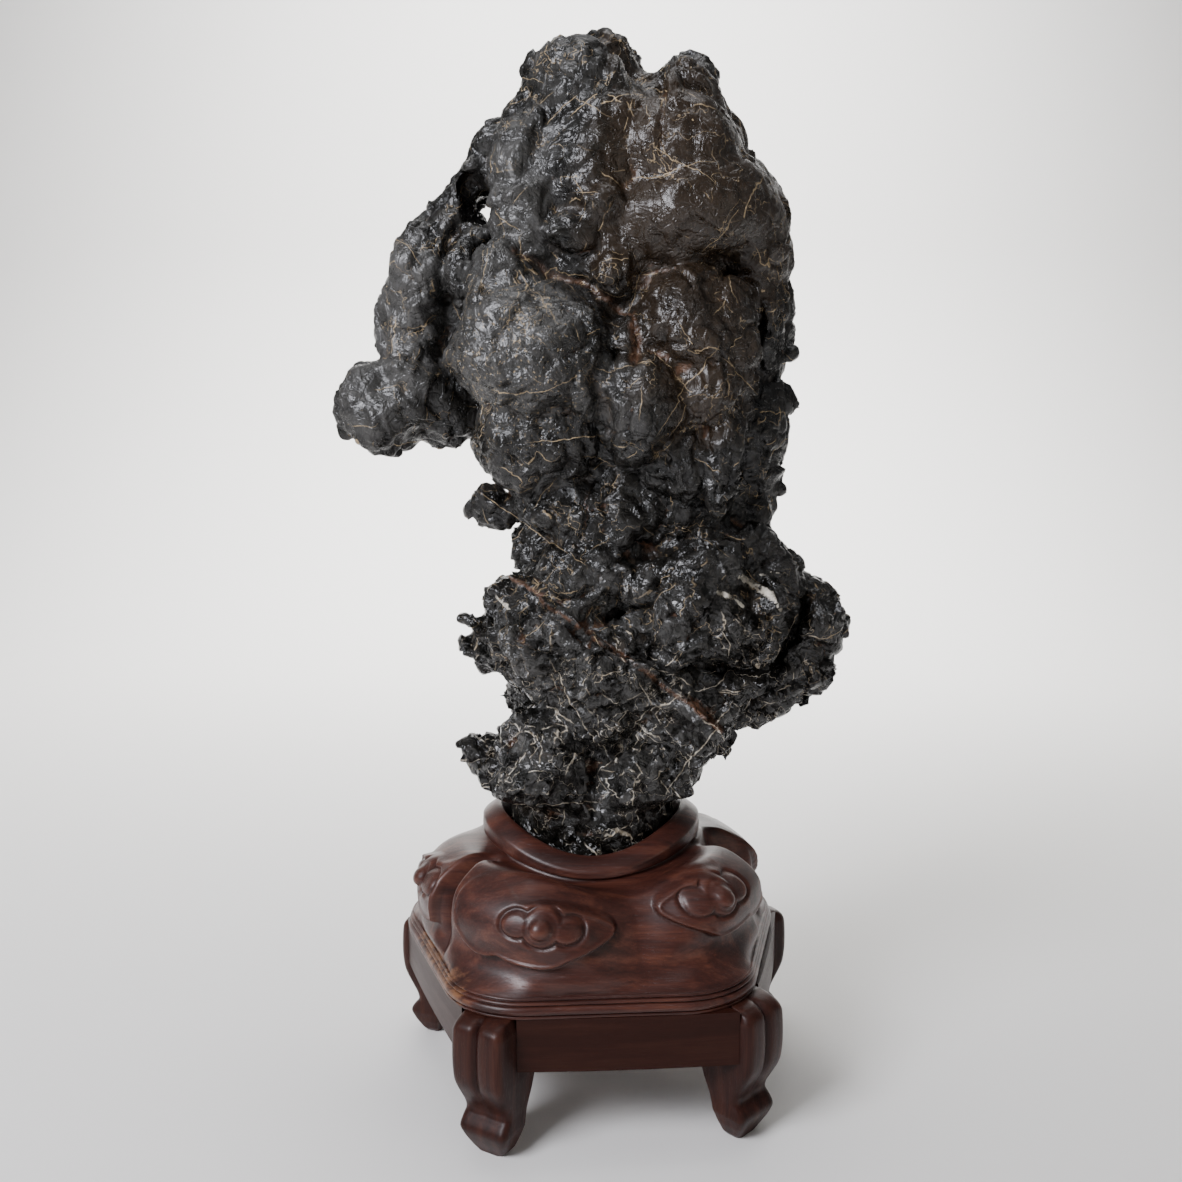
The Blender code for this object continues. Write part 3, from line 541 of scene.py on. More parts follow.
# The stone: one black limestone, built from overlapping lumps. Each lump is centre x, y, z,
# half sizes along x, y, z, and the degrees its top leans to the right.
lumps = {
    # the crown and its two peaks
    "crown_left_knob": (-46, -10, 806, 16, 24, 28, 0),
    "crown_facet": (-20, -24, 800, 36, 38, 37, 10),
    "crown_top": (6, 6, 821, 29, 36, 32, 0),
    "crown_mid": (11, -40, 792, 14, 20, 25, 5),
    "crown_saddle": (35, 2, 788, 30, 40, 34, 0),
    "horn": (67, 0, 799, 28, 34, 36, 5),
    "horn_front": (54, -50, 778, 9, 20, 27, 0),
    "horn_slab": (76, -14, 792, 20, 38, 41, -38),
    "horn_slope": (89, 4, 762, 27, 42, 50, -22),
    "peak_plate": (72, -28, 742, 38, 42, 54, -14),
    "dome_top": (57, -24, 748, 55, 56, 50, -14),
    # the upper body
    "core": (25, 2, 690, 100, 70, 114, 0),
    "dome": (65, -10, 704, 80, 76, 60, 0),
    "dome_side": (117, 5, 691, 39, 52, 66, -5),
    "brow": (-8, -42, 735, 46, 34, 42, 0),
    "brow_top": (8, -32, 766, 50, 35, 34, 0),
    "flank": (-50, -30, 702, 38, 36, 52, 6),
    "temple": (-60, -12, 740, 27, 46, 68, 12),
    "front_knot_1": (2, -66, 706, 20, 15, 16, 0),
    "front_knot_2": (-20, -64, 684, 20, 14, 17, 0),
    "front_knot_3": (10, -60, 657, 16, 13, 20, 0),
    # the cheeks, nose and the folds that hang at the right
    "cheek_left": (-48, -52, 602, 62, 60, 58, 0),
    "cheek_left_side": (-84, -40, 594, 34, 40, 36, 0),
    "cheek_left_top": (-78, -46, 644, 28, 38, 40, 10),
    "cheek_left_low": (-46, -32, 538, 52, 52, 54, 0),
    "cheek_right": (74, -48, 616, 50, 48, 48, 0),
    "nose": (32, -70, 556, 36, 42, 42, 0),
    "nose_side": (-6, -70, 572, 17, 32, 34, 8),
    "nose_root": (26, -52, 604, 26, 34, 26, 0),
    "fold_right": (104, -42, 592, 22, 36, 66, 0),
    "fold_tongue": (95, -68, 524, 14, 18, 58, 4),
    "fold_cover": (80, -60, 570, 28, 34, 36, 0),
    "fold_inner": (64, -52, 522, 32, 30, 38, 0),
    "rear_right_upper": (124, 14, 624, 36, 50, 66, 0),
    "rear_right_lower": (121, 8, 529, 34, 44, 66, 0),
    "middle": (22, 0, 545, 100, 64, 64, 0),
    # the arm on the left
    "arm_root": (-81, 12, 762, 24, 30, 25, 38),
    "arm_upper": (-100, 12, 734, 19, 30, 35, 34),
    "arm_bend": (-124, 10, 701, 20, 30, 34, 34),
    "arm_shoulder": (-143, 4, 669, 24, 30, 29, 20),
    "arm_mid": (-151, 4, 628, 30, 33, 50, 8),
    "arm_slab": (-146, -6, 652, 25, 28, 56, 8),
    "arm_web": (-108, 34, 690, 34, 15, 70, 15),
    "arm_inner": (-112, 18, 632, 26, 26, 58, 0),
    "arm_end": (-171, -6, 560, 45, 38, 40, 5),
    "arm_end_top": (-150, -8, 580, 30, 30, 24, 20),
    "arm_under": (-129, 8, 563, 40, 32, 41, 0),
    "arm_nub": (-119, 0, 540, 12, 16, 15, 0),
    "gap_lump_1": (-98, -2, 690, 14, 22, 15, 0),
    "gap_lump_2": (-107, -12, 664, 15, 24, 27, 0),
    # the waist
    "waist": (32, 0, 486, 106, 56, 60, 0),
    "waist_right": (112, 4, 482, 34, 40, 36, 0),
    "waist_left": (-34, -4, 497, 42, 46, 45, 0),
    "waist_low": (18, -4, 446, 88, 50, 42, 0),
    "waist_left_knob": (-84, -8, 476, 23, 18, 17, 10),
    "waist_front": (10, -36, 470, 62, 26, 38, 0),
    "waist_fill": (-16, -38, 421, 52, 34, 35, 0),
    # the hips on the right
    "hip_top": (104, -4, 431, 70, 56, 43, 20),
    "hip_front": (76, -40, 402, 60, 56, 52, 0),
    "hip_knot": (86, -60, 436, 28, 28, 26, 0),
    "hip_side": (127, -38, 388, 25, 42, 40, 20),
    "hip_far": (163, -4, 381, 44, 44, 47, 10),
    "hip_far_top": (184, -4, 390, 20, 30, 20, 0),
    "hip_far_low": (173, -8, 350, 22, 34, 28, 0),
    "hip_low": (122, -14, 336, 58, 44, 36, -22),
    "hip_back": (60, 30, 400, 90, 44, 60, 0),
    # the belly under the slanting ledge
    "belly_left": (-38, -38, 376, 46, 50, 48, 20),
    "belly_tip": (-72, -20, 405, 21, 28, 17, 15),
    "belly_side": (-80, -12, 368, 24, 26, 26, 0),
    "left_lobe": (-97, -13, 367, 20, 16, 11, -4),
    "belly_mid": (2, -44, 342, 64, 50, 54, 25),
    "belly_right": (66, -38, 316, 46, 46, 42, 20),
    "belly_corner": (84, -20, 290, 20, 34, 20, 20),
    "belly_back": (12, 25, 330, 86, 46, 72, 0),
    # the foot that stands in the socket
    "foot_left": (-43, -30, 260, 45, 46, 62, -8),
    "foot_spur": (-84, -14, 276, 26, 22, 13, 6),
    "foot_fin": (-82, -15, 252, 16, 26, 46, -37),
    "foot_right": (32, -22, 262, 51, 48, 64, 10),
    "foot_back": (4, 16, 250, 70, 42, 68, 0),
    "foot_base": (-5, -4, 210, 70, 58, 48, 0),
    # the back
    "back_crown": (22, 34, 780, 54, 34, 48, 0),
    "back_shoulder": (-20, 44, 700, 62, 40, 60, 0),
    "back_dome": (76, 46, 664, 56, 42, 66, 0),
    "back_cheek": (-52, 30, 590, 54, 48, 56, 0),
    "back_fold": (30, 50, 590, 48, 38, 62, 0),
    "back_waist": (44, 36, 480, 66, 38, 46, 0),
    "back_hip": (122, 34, 372, 52, 38, 40, 0),
    "back_belly": (-30, 30, 320, 52, 42, 48, 0),
}

# Each spur: where it starts, where its tip is, and its thickness at the root.
spurs = {
    "crown_chip": ((72, -2, 822), (70, -2, 836), 7),
    "slope_chip": ((112, 0, 750), (124, 0, 758), 7),
    "side_chip": ((138, 0, 602), (158, 0, 601), 10),
    "flap": ((136, -5, 576), (160, -6, 556), 14),
    "waist_tip": ((134, 0, 500), (155, 0, 492), 9),
    "knob_tip": ((-88, -8, 478), (-107, -8, 474), 10),
    "knob_point": ((-88, -8, 482), (-96, -8, 494), 7),
    "left_spike_1": ((-82, -12, 381), (-114, -14, 388), 7),
    "left_spike_3": ((-60, -10, 354), (-98, -12, 347), 12),
    "low_spike_1": ((-50, -14, 302), (-82, -18, 293), 8),
    "foot_spike_1": ((-96, -14, 278), (-115, -16, 283), 8),
    "foot_spike_2": ((-92, -14, 268), (-114, -16, 271), 8),
    "hip_nub": ((88, -26, 292), (107, -28, 275), 10),
    "hip_edge": ((150, -14, 326), (172, -14, 316), 9),
}

# Hollows cut out of the stone, laid out as the lumps are.
hollows = {
    "eye": (-90, 20, 718, 8.5, 60, 13, -40),
    "eye_pit": (-96, -12, 722, 13, 24, 24, -30),
    "pocket": (17, -92, 384, 15, 22, 15, 0),
    "fold_pit": (122, -42, 600, 10, 22, 46, 0),
    "cleft": (157, -46, 384, 7, 26, 36, 30),
    "back_cave": (30, 96, 660, 26, 30, 34, 10),
    "back_slot": (-2, 78, 540, 12, 30, 44, -15),
    "back_pit": (34, 84, 430, 30, 26, 20, 0),
    "back_low_pit": (30, 72, 300, 22, 24, 30, 15),
}
stone = {
    "seed": 5,             # fixes the slow bends and the tilt of each facet
    "skin": 2.0,           # faces of the merged lumps
    "chips": 10,           # flats knocked off each lump
    "triangles": 246000,
    "facets": ((34.0, 0.30, 0.15), (15.0, 0.25, 0.25)),   # size, tilt, and more tilt on the craggy half
    "crackSpacing": 25.0,
    "crackDepth": 1.4,
    "crackWidth": 2.6,
    "flakes": (11.0, 0.14, 0.08),     # small angular flakes: the same three values
    "wrinkleSize": 6.5,    # hide-like wrinkles
    "foldSpacing": 5.0,    # hanging folds, like wet cloth, strongest at the right
    "foldLength": 40.0,
    "footRoom": 4.0,       # between the foot and the socket's wall
    "footLift": 0.3,
    "craggyFrom": 560, "craggyTo": 430,               # heights between which it turns craggy
    "paleFrom": 470, "paleTo": 330,                   # and its threads turn from tan to white
    "patchSize": 40.0,     # broad patches of colour
    "calm": ((56, -30, 726), (112, 105, 100)),        # the big smooth dome
    # also smooth: how much, centre and size
    "smooth": ((1.0, (84, -90, 622), (40, 40, 42)), (0.8, (0, -20, 808), (70, 60, 45)),
               (0.8, (-62, -70, 605), (68, 60, 76)), (0.7, (-150, -10, 630), (46, 60, 80)),
               (0.7, (-180, -20, 562), (56, 60, 44)), (0.6, (-62, -30, 710), (44, 60, 70)),
               (0.7, (-45, -60, 280), (46, 60, 60)), (0.6, (165, -40, 390), (40, 60, 55))),
    "draped": ((94, -70, 535), (40, 60, 80)),         # where the folds are deepest
    "knobbly": ((-60, -70, 585), (70, 60, 70)),       # pitted left cheek
    "brown": ((1.0, (80, -40, 712), (110, 130, 120)), (0.8, (70, -60, 590), (70, 70, 80)),
              (0.8, (18, -10, 816), (32, 60, 40))),
    # where it is lighter grey, painted as the sheen of lumps that catch the light: how much, centre and size
    "wornAndSheen": ((0.8, (-66, -60, 610), (76, 80, 90)), (0.8, (-62, -30, 710), (50, 70, 80)),
             (0.95, (-150, -20, 625), (50, 60, 80)), (0.75, (-180, -20, 565), (50, 60, 40)),
             (0.55, (-22, -50, 808), (44, 50, 40)), (0.65, (0, -70, 330), (130, 90, 130)),
             (0.3, (165, -40, 385), (50, 50, 60)), (0.6, (24, -90, 560), (50, 40, 50)),
             (0.3, (0, -60, 690), (40, 40, 50))),
}
seams = {                  # creases on the front: points (x, z), depth, width and how much rust
    "brow": ([(-62, 670), (-40, 655), (-10, 650), (10, 636), (24, 622), (31, 604)], 3.5, 3.0, 0.6),
    "overhang": ([(80, 650), (104, 661), (134, 658)], 4.0, 3.0, 0.4),
    "rustPocket": ([(24, 614), (29, 600), (27, 588)], 5.0, 5.0, 0.75),
    "hornRoot": ([(47, 796), (45, 772), (43, 745)], 3.0, 2.6, 0.45),
    "crownScratch": ([(22, 812), (10, 790), (-6, 772), (-26, 764)], 2.2, 2.2, 0.3),
    "noseSide": ([(4, 602), (-2, 575), (2, 550), (8, 532)], 5.0, 4.0, 0.3),
    "hipCleft": ([(172, 415), (160, 392), (146, 366), (134, 345)], 4.0, 4.0, 0.1),
}
ledge = {                  # the slanting crack across the belly, with a rusty raised lip
    "line": [(-80, 425), (-50, 415), (-10, 386), (30, 358), (70, 331), (98, 308)],
    "lip": 4.0, "lipWidth": 1.7, "undercut": 5.0, "undercutReach": 6.0, "rust": 2.2,
}
chalkStrokes = [           # ragged white calcite on the front: ends (x, z) and half width
    ((88, 419), (99, 414), 2.6), ((99, 414), (111, 405), 1.8), ((110, 427), (122, 419), 4.2),
    ((122, 419), (132, 411), 4.6), ((132, 411), (140, 401), 2.2), ((127, 427), (148, 429), 1.2),
    ((-80, 409), (-70, 401), 2.2), ((29, 312), (46, 299), 1.8),
]


def facetedBall(bm, name, shape, chips):  # a ball with flat chips taken off it, always the same for its name
    centre, halfSizes, lean = shape[:3], shape[3:6], shape[6]
    dice = random.Random(name)
    sphere = bmesh.ops.create_icosphere(bm, subdivisions=4, radius=1.0)["verts"]
    points = np.array([v.co for v in sphere])
    reach = np.ones(len(points))
    for _ in range(chips):
        normal = np.array([dice.gauss(0, 1) for _ in range(3)])
        normal /= np.linalg.norm(normal)
        facing = points @ normal
        cut = dice.uniform(0.80, 0.95) / np.maximum(facing, 1e-6)
        reach = np.where(facing > 0.2, np.minimum(reach, cut), reach)
    points = points * reach[:, None] * np.array(halfSizes)
    turn = np.array(Matrix.Rotation(math.radians(lean), 3, "Y"))
    points = points @ turn.T + np.array(centre)
    for vert, point in zip(sphere, points):
        vert.co = point * mm


def spurCone(bm, start, tip, thickness):
    start, tip = Vector(start), Vector(tip)
    way = tip - start
    place = Matrix.Translation((start + tip) / 2 * mm) @ way.to_track_quat("Z", "Y").to_matrix().to_4x4()
    bmesh.ops.create_cone(bm, cap_ends=True, segments=12, radius1=thickness * mm,
                          radius2=thickness * 0.45 * mm, depth=way.length * mm, matrix=place)


def evenSkin(obj):
    modifier = obj.modifiers.new("evenSkin", "REMESH")
    modifier.mode = "VOXEL"
    modifier.voxel_size = stone["skin"] * mm


def applied(obj):  # the object's mesh with its modifiers applied
    graph = bpy.context.evaluated_depsgraph_get()
    made = bpy.data.meshes.new_from_object(obj.evaluated_get(graph))
    old = obj.data
    obj.modifiers.clear()
    obj.data = made
    bpy.data.meshes.remove(old)
    return made


def mergedBalls(name, balls, chips, cones=()):
    bm = bmesh.new()
    for ball, shape in balls.items():
        facetedBall(bm, ball, shape, chips)
    for start, tip, thickness in cones:
        spurCone(bm, start, tip, thickness)
    mesh = bpy.data.meshes.new(name)
    bm.to_mesh(mesh)
    bm.free()
    merged = placeObject(name, mesh, None)
    evenSkin(merged)
    applied(merged)
    return merged


def keepLargestPiece(mesh):
    bm = bmesh.new()
    bm.from_mesh(mesh)
    unseen = set(bm.verts)
    pieces = []
    while unseen:
        stack = [unseen.pop()]
        piece = list(stack)
        while stack:
            near = [e.other_vert(v) for v in [stack.pop()] for e in v.link_edges]
            near = [v for v in set(near) if v in unseen]
            unseen.difference_update(near)
            stack += near
            piece += near
        pieces.append(piece)
    pieces.sort(key=len)
    bmesh.ops.delete(bm, geom=[v for piece in pieces[:-1] for v in piece], context="VERTS")
    bm.to_mesh(mesh)
    bm.free()


def tiltedFacets(place, size, tilt):  # cells that are each a flat facet with its own tilt
    distances, seeds = noise.voronoi(place / size)
    seed = Vector(seeds[0])
    direction = noise.noise_vector(seed * 5.3)
    crease = min(1.0, (distances[1] - distances[0]) * 5)
    return (place / size - seed).dot(direction) * size * tilt + (crease - 1) * size * 0.05


def stoneField(place, warped, craggy, dome):  # the broad relief, the same as the solid's
    swell = noise.noise(place / 36) * 4.0
    facets = sum(tiltedFacets(warped, size, tilt + more * craggy) for size, tilt, more in stone["facets"])
    ridges = 1 - abs(noise.noise(warped / 14)) * 4
    return swell + (facets + ridges * (0.6 + 0.8 * craggy)) * (1 - 0.6 * dome)


def fineField(place, warped, craggy, calm, draped):  # cracks, flakes, wrinkles and hanging folds
    distances = noise.voronoi(warped / stone["crackSpacing"])[0]
    crack = max(0.0, 1 - (distances[1] - distances[0]) * stone["crackSpacing"] / stone["crackWidth"])
    crack *= max(0.0, min(1.0, 0.5 + 2 * noise.noise(place / 45)))         # cracks come and go
    size, tilt, more = stone["flakes"]
    flake = tiltedFacets(warped, size, tilt + more * craggy)
    wrinkle = 0.8 - 3 * abs(noise.noise(warped / stone["wrinkleSize"]))
    width, length = stone["foldSpacing"], stone["foldLength"]
    hanging = Vector((warped.x / width, warped.y / width, place.z / length))
    fold = 0.5 - 2.2 * abs(noise.noise(hanging))
    broad = 0.5 - 2.0 * abs(noise.noise(hanging * 0.42))
    grain = noise.noise(place / 4.0) * 0.12
    rough = (1 - 0.85 * calm) * (0.45 + 0.2 * craggy)
    folds = 1.6 * draped * fold + (1 - craggy) * (1 - 0.6 * calm) * (0.5 * fold + 1.5 * broad)
    return rough * (flake + 0.5 * wrinkle - stone["crackDepth"] * crack) + folds + grain


def lineDistance(flat, line):
    nearest = np.full(len(flat), 1e9)
    for a, b in zip(np.array(line, float), np.array(line[1:], float)):
        share = np.clip(((flat - a) @ (b - a)) / ((b - a) @ (b - a)), 0, 1)
        nearest = np.minimum(nearest, np.linalg.norm(flat - a - share[:, None] * (b - a), axis=1))
    return nearest


def onFront(y):  # 1 on the side that faces the viewer, fading out towards the middle
    return smoothStep(-18, -44, y)


def frontLines(points, wander):  # depth of the seams and the ledge, and the rust beside them
    flat = (points + wander)[:, [0, 2]]
    front = onFront(points[:, 1])
    depth = np.zeros(len(points))
    rust = np.zeros(len(points))
    for line, deep, width, colour in seams.values():
        away = lineDistance(flat, line)
        depth -= deep * np.exp(-(away / width) ** 2)
        rust = np.maximum(rust, colour * np.exp(-(away / (width + 1)) ** 2))
    away = lineDistance(flat, ledge["line"])
    xs, zs = zip(*ledge["line"])
    above = smoothStep(0, 3, flat[:, 1] - np.interp(flat[:, 0], xs, zs))
    reach = ledge["undercutReach"]
    broken = np.clip([1.0 + 0.6 * noise.noise(Vector(p) / 9) for p in points], 0.7, 1.4)
    depth += ledge["lip"] * broken * np.exp(-(away / ledge["lipWidth"]) ** 2)
    depth -= ledge["undercut"] * above * np.exp(-((away - reach) / (0.6 * reach)) ** 2)
    rust = np.maximum(rust, (0.5 + 0.5 * broken) * np.exp(-(away / ledge["rust"]) ** 2))
    return depth * front, rust * front


def wandering(points):  # the slow bends that keep lines and cells from running straight
    return np.array([noise.noise_vector(Vector(p) / 25) * 9 for p in points])


def pressIntoSocket(points):  # the foot stays clear of the collar, and narrows where it stands
    rim = collar["rimMean"] + collar["rimWave"] + 4
    x = points[:, 0] - collar["centre"][0]
    y = points[:, 1] - collar["centre"][1]
    room = stone["footRoom"]
    reach = np.hypot(x / (collar["socket"][0] - room), y / (collar["socket"][1] - room))
    low = 1 - smoothStep(rim, rim + 16, points[:, 2])
    shrink = 1 - low * (1 - 1 / np.maximum(reach, 1.0))
    bottom = collar["floor"] + stone["footLift"]
    tuck = 1 - 0.12 * (1 - smoothStep(bottom, bottom + 14, points[:, 2]))
    points[:, 0] = collar["centre"][0] + x * shrink * tuck
    points[:, 1] = collar["centre"][1] + y * shrink * tuck
    return points


def flattenBottom(mesh):
    bm = bmesh.new()
    bm.from_mesh(mesh)
    bottom = (collar["floor"] + stone["footLift"]) * mm
    cut = bmesh.ops.bisect_plane(bm, geom=bm.verts[:] + bm.edges[:] + bm.faces[:], plane_co=(0, 0, bottom),
                                 plane_no=(0, 0, -1), clear_outer=True)
    edges = [g for g in cut["geom_cut"] if isinstance(g, bmesh.types.BMEdge)]
    bmesh.ops.contextual_create(bm, geom=edges)
    bmesh.ops.triangulate(bm, faces=[f for f in bm.faces if len(f.verts) > 4])
    bm.to_mesh(mesh)
    bm.free()


def paintStone(mesh):  # masks for the stone's material
    points = meshArray(mesh.vertices, "co", 3) / mm
    wander = wandering(points)
    y, z = points[:, 1], points[:, 2]
    recess = hollowness(mesh, 24)
    rust = frontLines(points, wander * 0.5)[1]
    patchy = np.array([noise.noise(Vector(p) / stone["patchSize"]) for p in points])
    brown = strongest(points, stone["brown"], np.zeros(len(points)))
    # grey in random dry patches, and lighter as painted sheen on the lumps that catch the light
    dryAndSheen = strongest(points, stone["wornAndSheen"], 0.5 * smoothStep(0.0, 0.5, -patchy))
    rustyHollows = 0.75 * smoothStep(1.2, 3.2, recess) * smoothStep(-0.05, 0.3, patchy)
    chalk = np.zeros(len(points))
    for start, end, width in chalkStrokes:
        away = lineDistance((points + wander * 0.3)[:, [0, 2]], (start, end))
        chalk = np.maximum(chalk, (1 - smoothStep(0.3 * width, 1.5 * width, away)) * onFront(y))
    storeMask(mesh, "recess", smoothStep(0.2, 2.6, recess))
    # convex edges, which the stone's colour lightens: rubbed wear and painted highlight
    storeMask(mesh, "rubbedAndHighlit", smoothStep(0.3, 2.2, -recess))
    storeMask(mesh, "rust", np.maximum(rust, rustyHollows))
    storeMask(mesh, "brown", brown + 0.25 * smoothStep(0.0, 0.5, patchy))
    storeMask(mesh, "pale", 1 - smoothStep(stone["paleTo"], stone["paleFrom"], z + 60 * patchy))
    storeMask(mesh, "chalk", chalk)
    storeMask(mesh, "knobbly", nearRegion(points, *stone["knobbly"]))
    storeMask(mesh, "wornAndSheen", dryAndSheen * (1 - 0.8 * brown))


def buildRock(material):
    noise.seed_set(stone["seed"])
    rock = mergedBalls("blackStone", lumps, stone["chips"], spurs.values())
    keepLargestPiece(rock.data)
    cutter = mergedBalls("hollows", hollows, 3)
    cut = rock.modifiers.new("hollows", "BOOLEAN")
    cut.operation = "DIFFERENCE"
    cut.object = cutter
    evenSkin(rock)
    soften = rock.modifiers.new("soften", "SMOOTH")
    soften.iterations = 3
    mesh = applied(rock)
    bpy.data.objects.remove(cutter)
    keepLargestPiece(mesh)
    print("stone skin:", len(mesh.vertices), "points")

    points = meshArray(mesh.vertices, "co", 3) / mm
    normals = meshArray(mesh.vertex_normals, "vector", 3)
    wander = wandering(points)
    craggy = 1 - smoothStep(stone["craggyTo"], stone["craggyFrom"], points[:, 2])
    dome = nearRegion(points, *stone["calm"])
    calm = strongest(points, stone["smooth"], dome)
    draped = nearRegion(points, *stone["draped"]) * smoothStep(-10, -40, points[:, 1])
    push = frontLines(points, wander * 0.5)[0]
    for i, point in enumerate(points):
        place = Vector(point)
        warped = place + Vector(wander[i])
        push[i] += stoneField(place, warped, craggy[i], dome[i])
        push[i] += fineField(place, warped, craggy[i], calm[i], draped[i])
    points = pressIntoSocket(points + normals * push[:, None])
    mesh.vertices.foreach_set("co", (points * mm).astype(np.float32).ravel())
    thin = rock.modifiers.new("thin", "DECIMATE")
    thin.ratio = min(1.0, stone["triangles"] / (2 * len(mesh.polygons)))
    mesh = applied(rock)
    flattenBottom(mesh)
    mesh.shade_smooth()
    paintStone(mesh)
    mesh.materials.clear()
    mesh.materials.append(material)
    finishPiece(rock, "stone", "rock")
    print("stone:", len(mesh.polygons), "triangles")


stoneLook = {
    "black": "#0e0d0b",
    "grey": "#1c1a17",         # the same stone where it is a little worn, and lighter on convex edges as painted highlight
    "brown": "#2b2117",        # thin olive-brown skin over the dome
    "rust": "#63412a",
    "wornAndSheen": "#4b4a48",         # grey: dry stone in random patches, and painted sheen where the lumps catch the light
    "dust": "#4a3d30",         # dry dust that stays in the hollows
    "thread": "#b09a78",       # tan calcite threads
    "chalk": "#d8d0c0",        # white calcite
    "ior": 1.5,
    "shine": 0.5,
    "roughness": 0.28,         # satin above, glossier on the craggy lower half
    "roughnessSpread": (-0.08, 0.1),              # less and more in the mottle
    "glossier": 0.17,
    "duller": 0.35,            # on rust, dust and calcite
    # Flat calcite seams that cross the stone and show as straight threads: mm between them, width,
    # size of a cluster, how bare the stone is, and how much barer above. Drawn a little wider than real.
    "seams": ((90.0, 0.5, 80.0, 0.40, 0.02), (52.0, 0.45, 60.0, 0.40, 0.04), (30.0, 0.42, 50.0, 0.43, 0.08),
              (16.0, 0.40, 40.0, 0.50, 0.12), (9.0, 0.38, 26.0, 0.62, 0.16)),
    "curls": ((24.0, 0.006, 46.0, 0.48, 0.04), (10.0, 0.009, 30.0, 0.61, 0.11)),   # winding threads
    "bandSize": 28.0,          # mm across the bends of the bedding
    "bandShift": 0.012,        # metres that they move what lies in it
    "fibreWidth": 1.6, "fibreLength": 22.0,       # mm, drawn coarser than the real fibres
    "wrinkleSize": 12.0, "wrinkleWidth": 0.09,
    # mm across, detail, roughness, and if it follows the bedding
    "patterns": {"mottle": (14.0, 7.0, 0.68, False), "crumbs": (5.0, 5.0, 0.7, True),
                 "pores": (2.6, 2.0, 0.5, False)},
    # Each coat of colour: the pattern, the mask and what the mask does to it ("times", or how much of
    # it is added), the value where the coat starts, where it is full, how full, and how it comes in.
    "coats": {
        # grey: random mottle, raised on convex edges as painted highlight
        "grey": ("mottle", "rubbedAndHighlit", 0.3, 0.45, 0.85, 1.0, "LINEAR"),
        # the grey of dry patches and of painted sheen
        "wornAndSheen": ("mottle", "wornAndSheen", "times", 0.14, 0.62, 1.0, "LINEAR"),
        "brown": ("mottle", "brown", "times", 0.12, 0.5, 1.0, "LINEAR"),
        "dust": ("crumbs", "recess", "times", 0.3, 0.8, 0.5, "LINEAR"),
        "rust": ("crumbs", "rust", 1.0, 0.75, 1.6, 0.85, "SMOOTHSTEP"),
        "chalk": ("crumbs", "chalk", 0.6, 0.9, 1.12, 0.9, "SMOOTHSTEP"),
        "whiteThread": ("crumbs", "pale", "times", 0.3, 0.6, 1.0, "LINEAR"),
    },
    # strength and metres
    "bumps": (("mottle", 0.5, 0.0010), ("crumbs", 0.4, 0.0005), ("fibres", 0.6, 0.0006),
              ("pores", 0.3, 0.0003)),
}


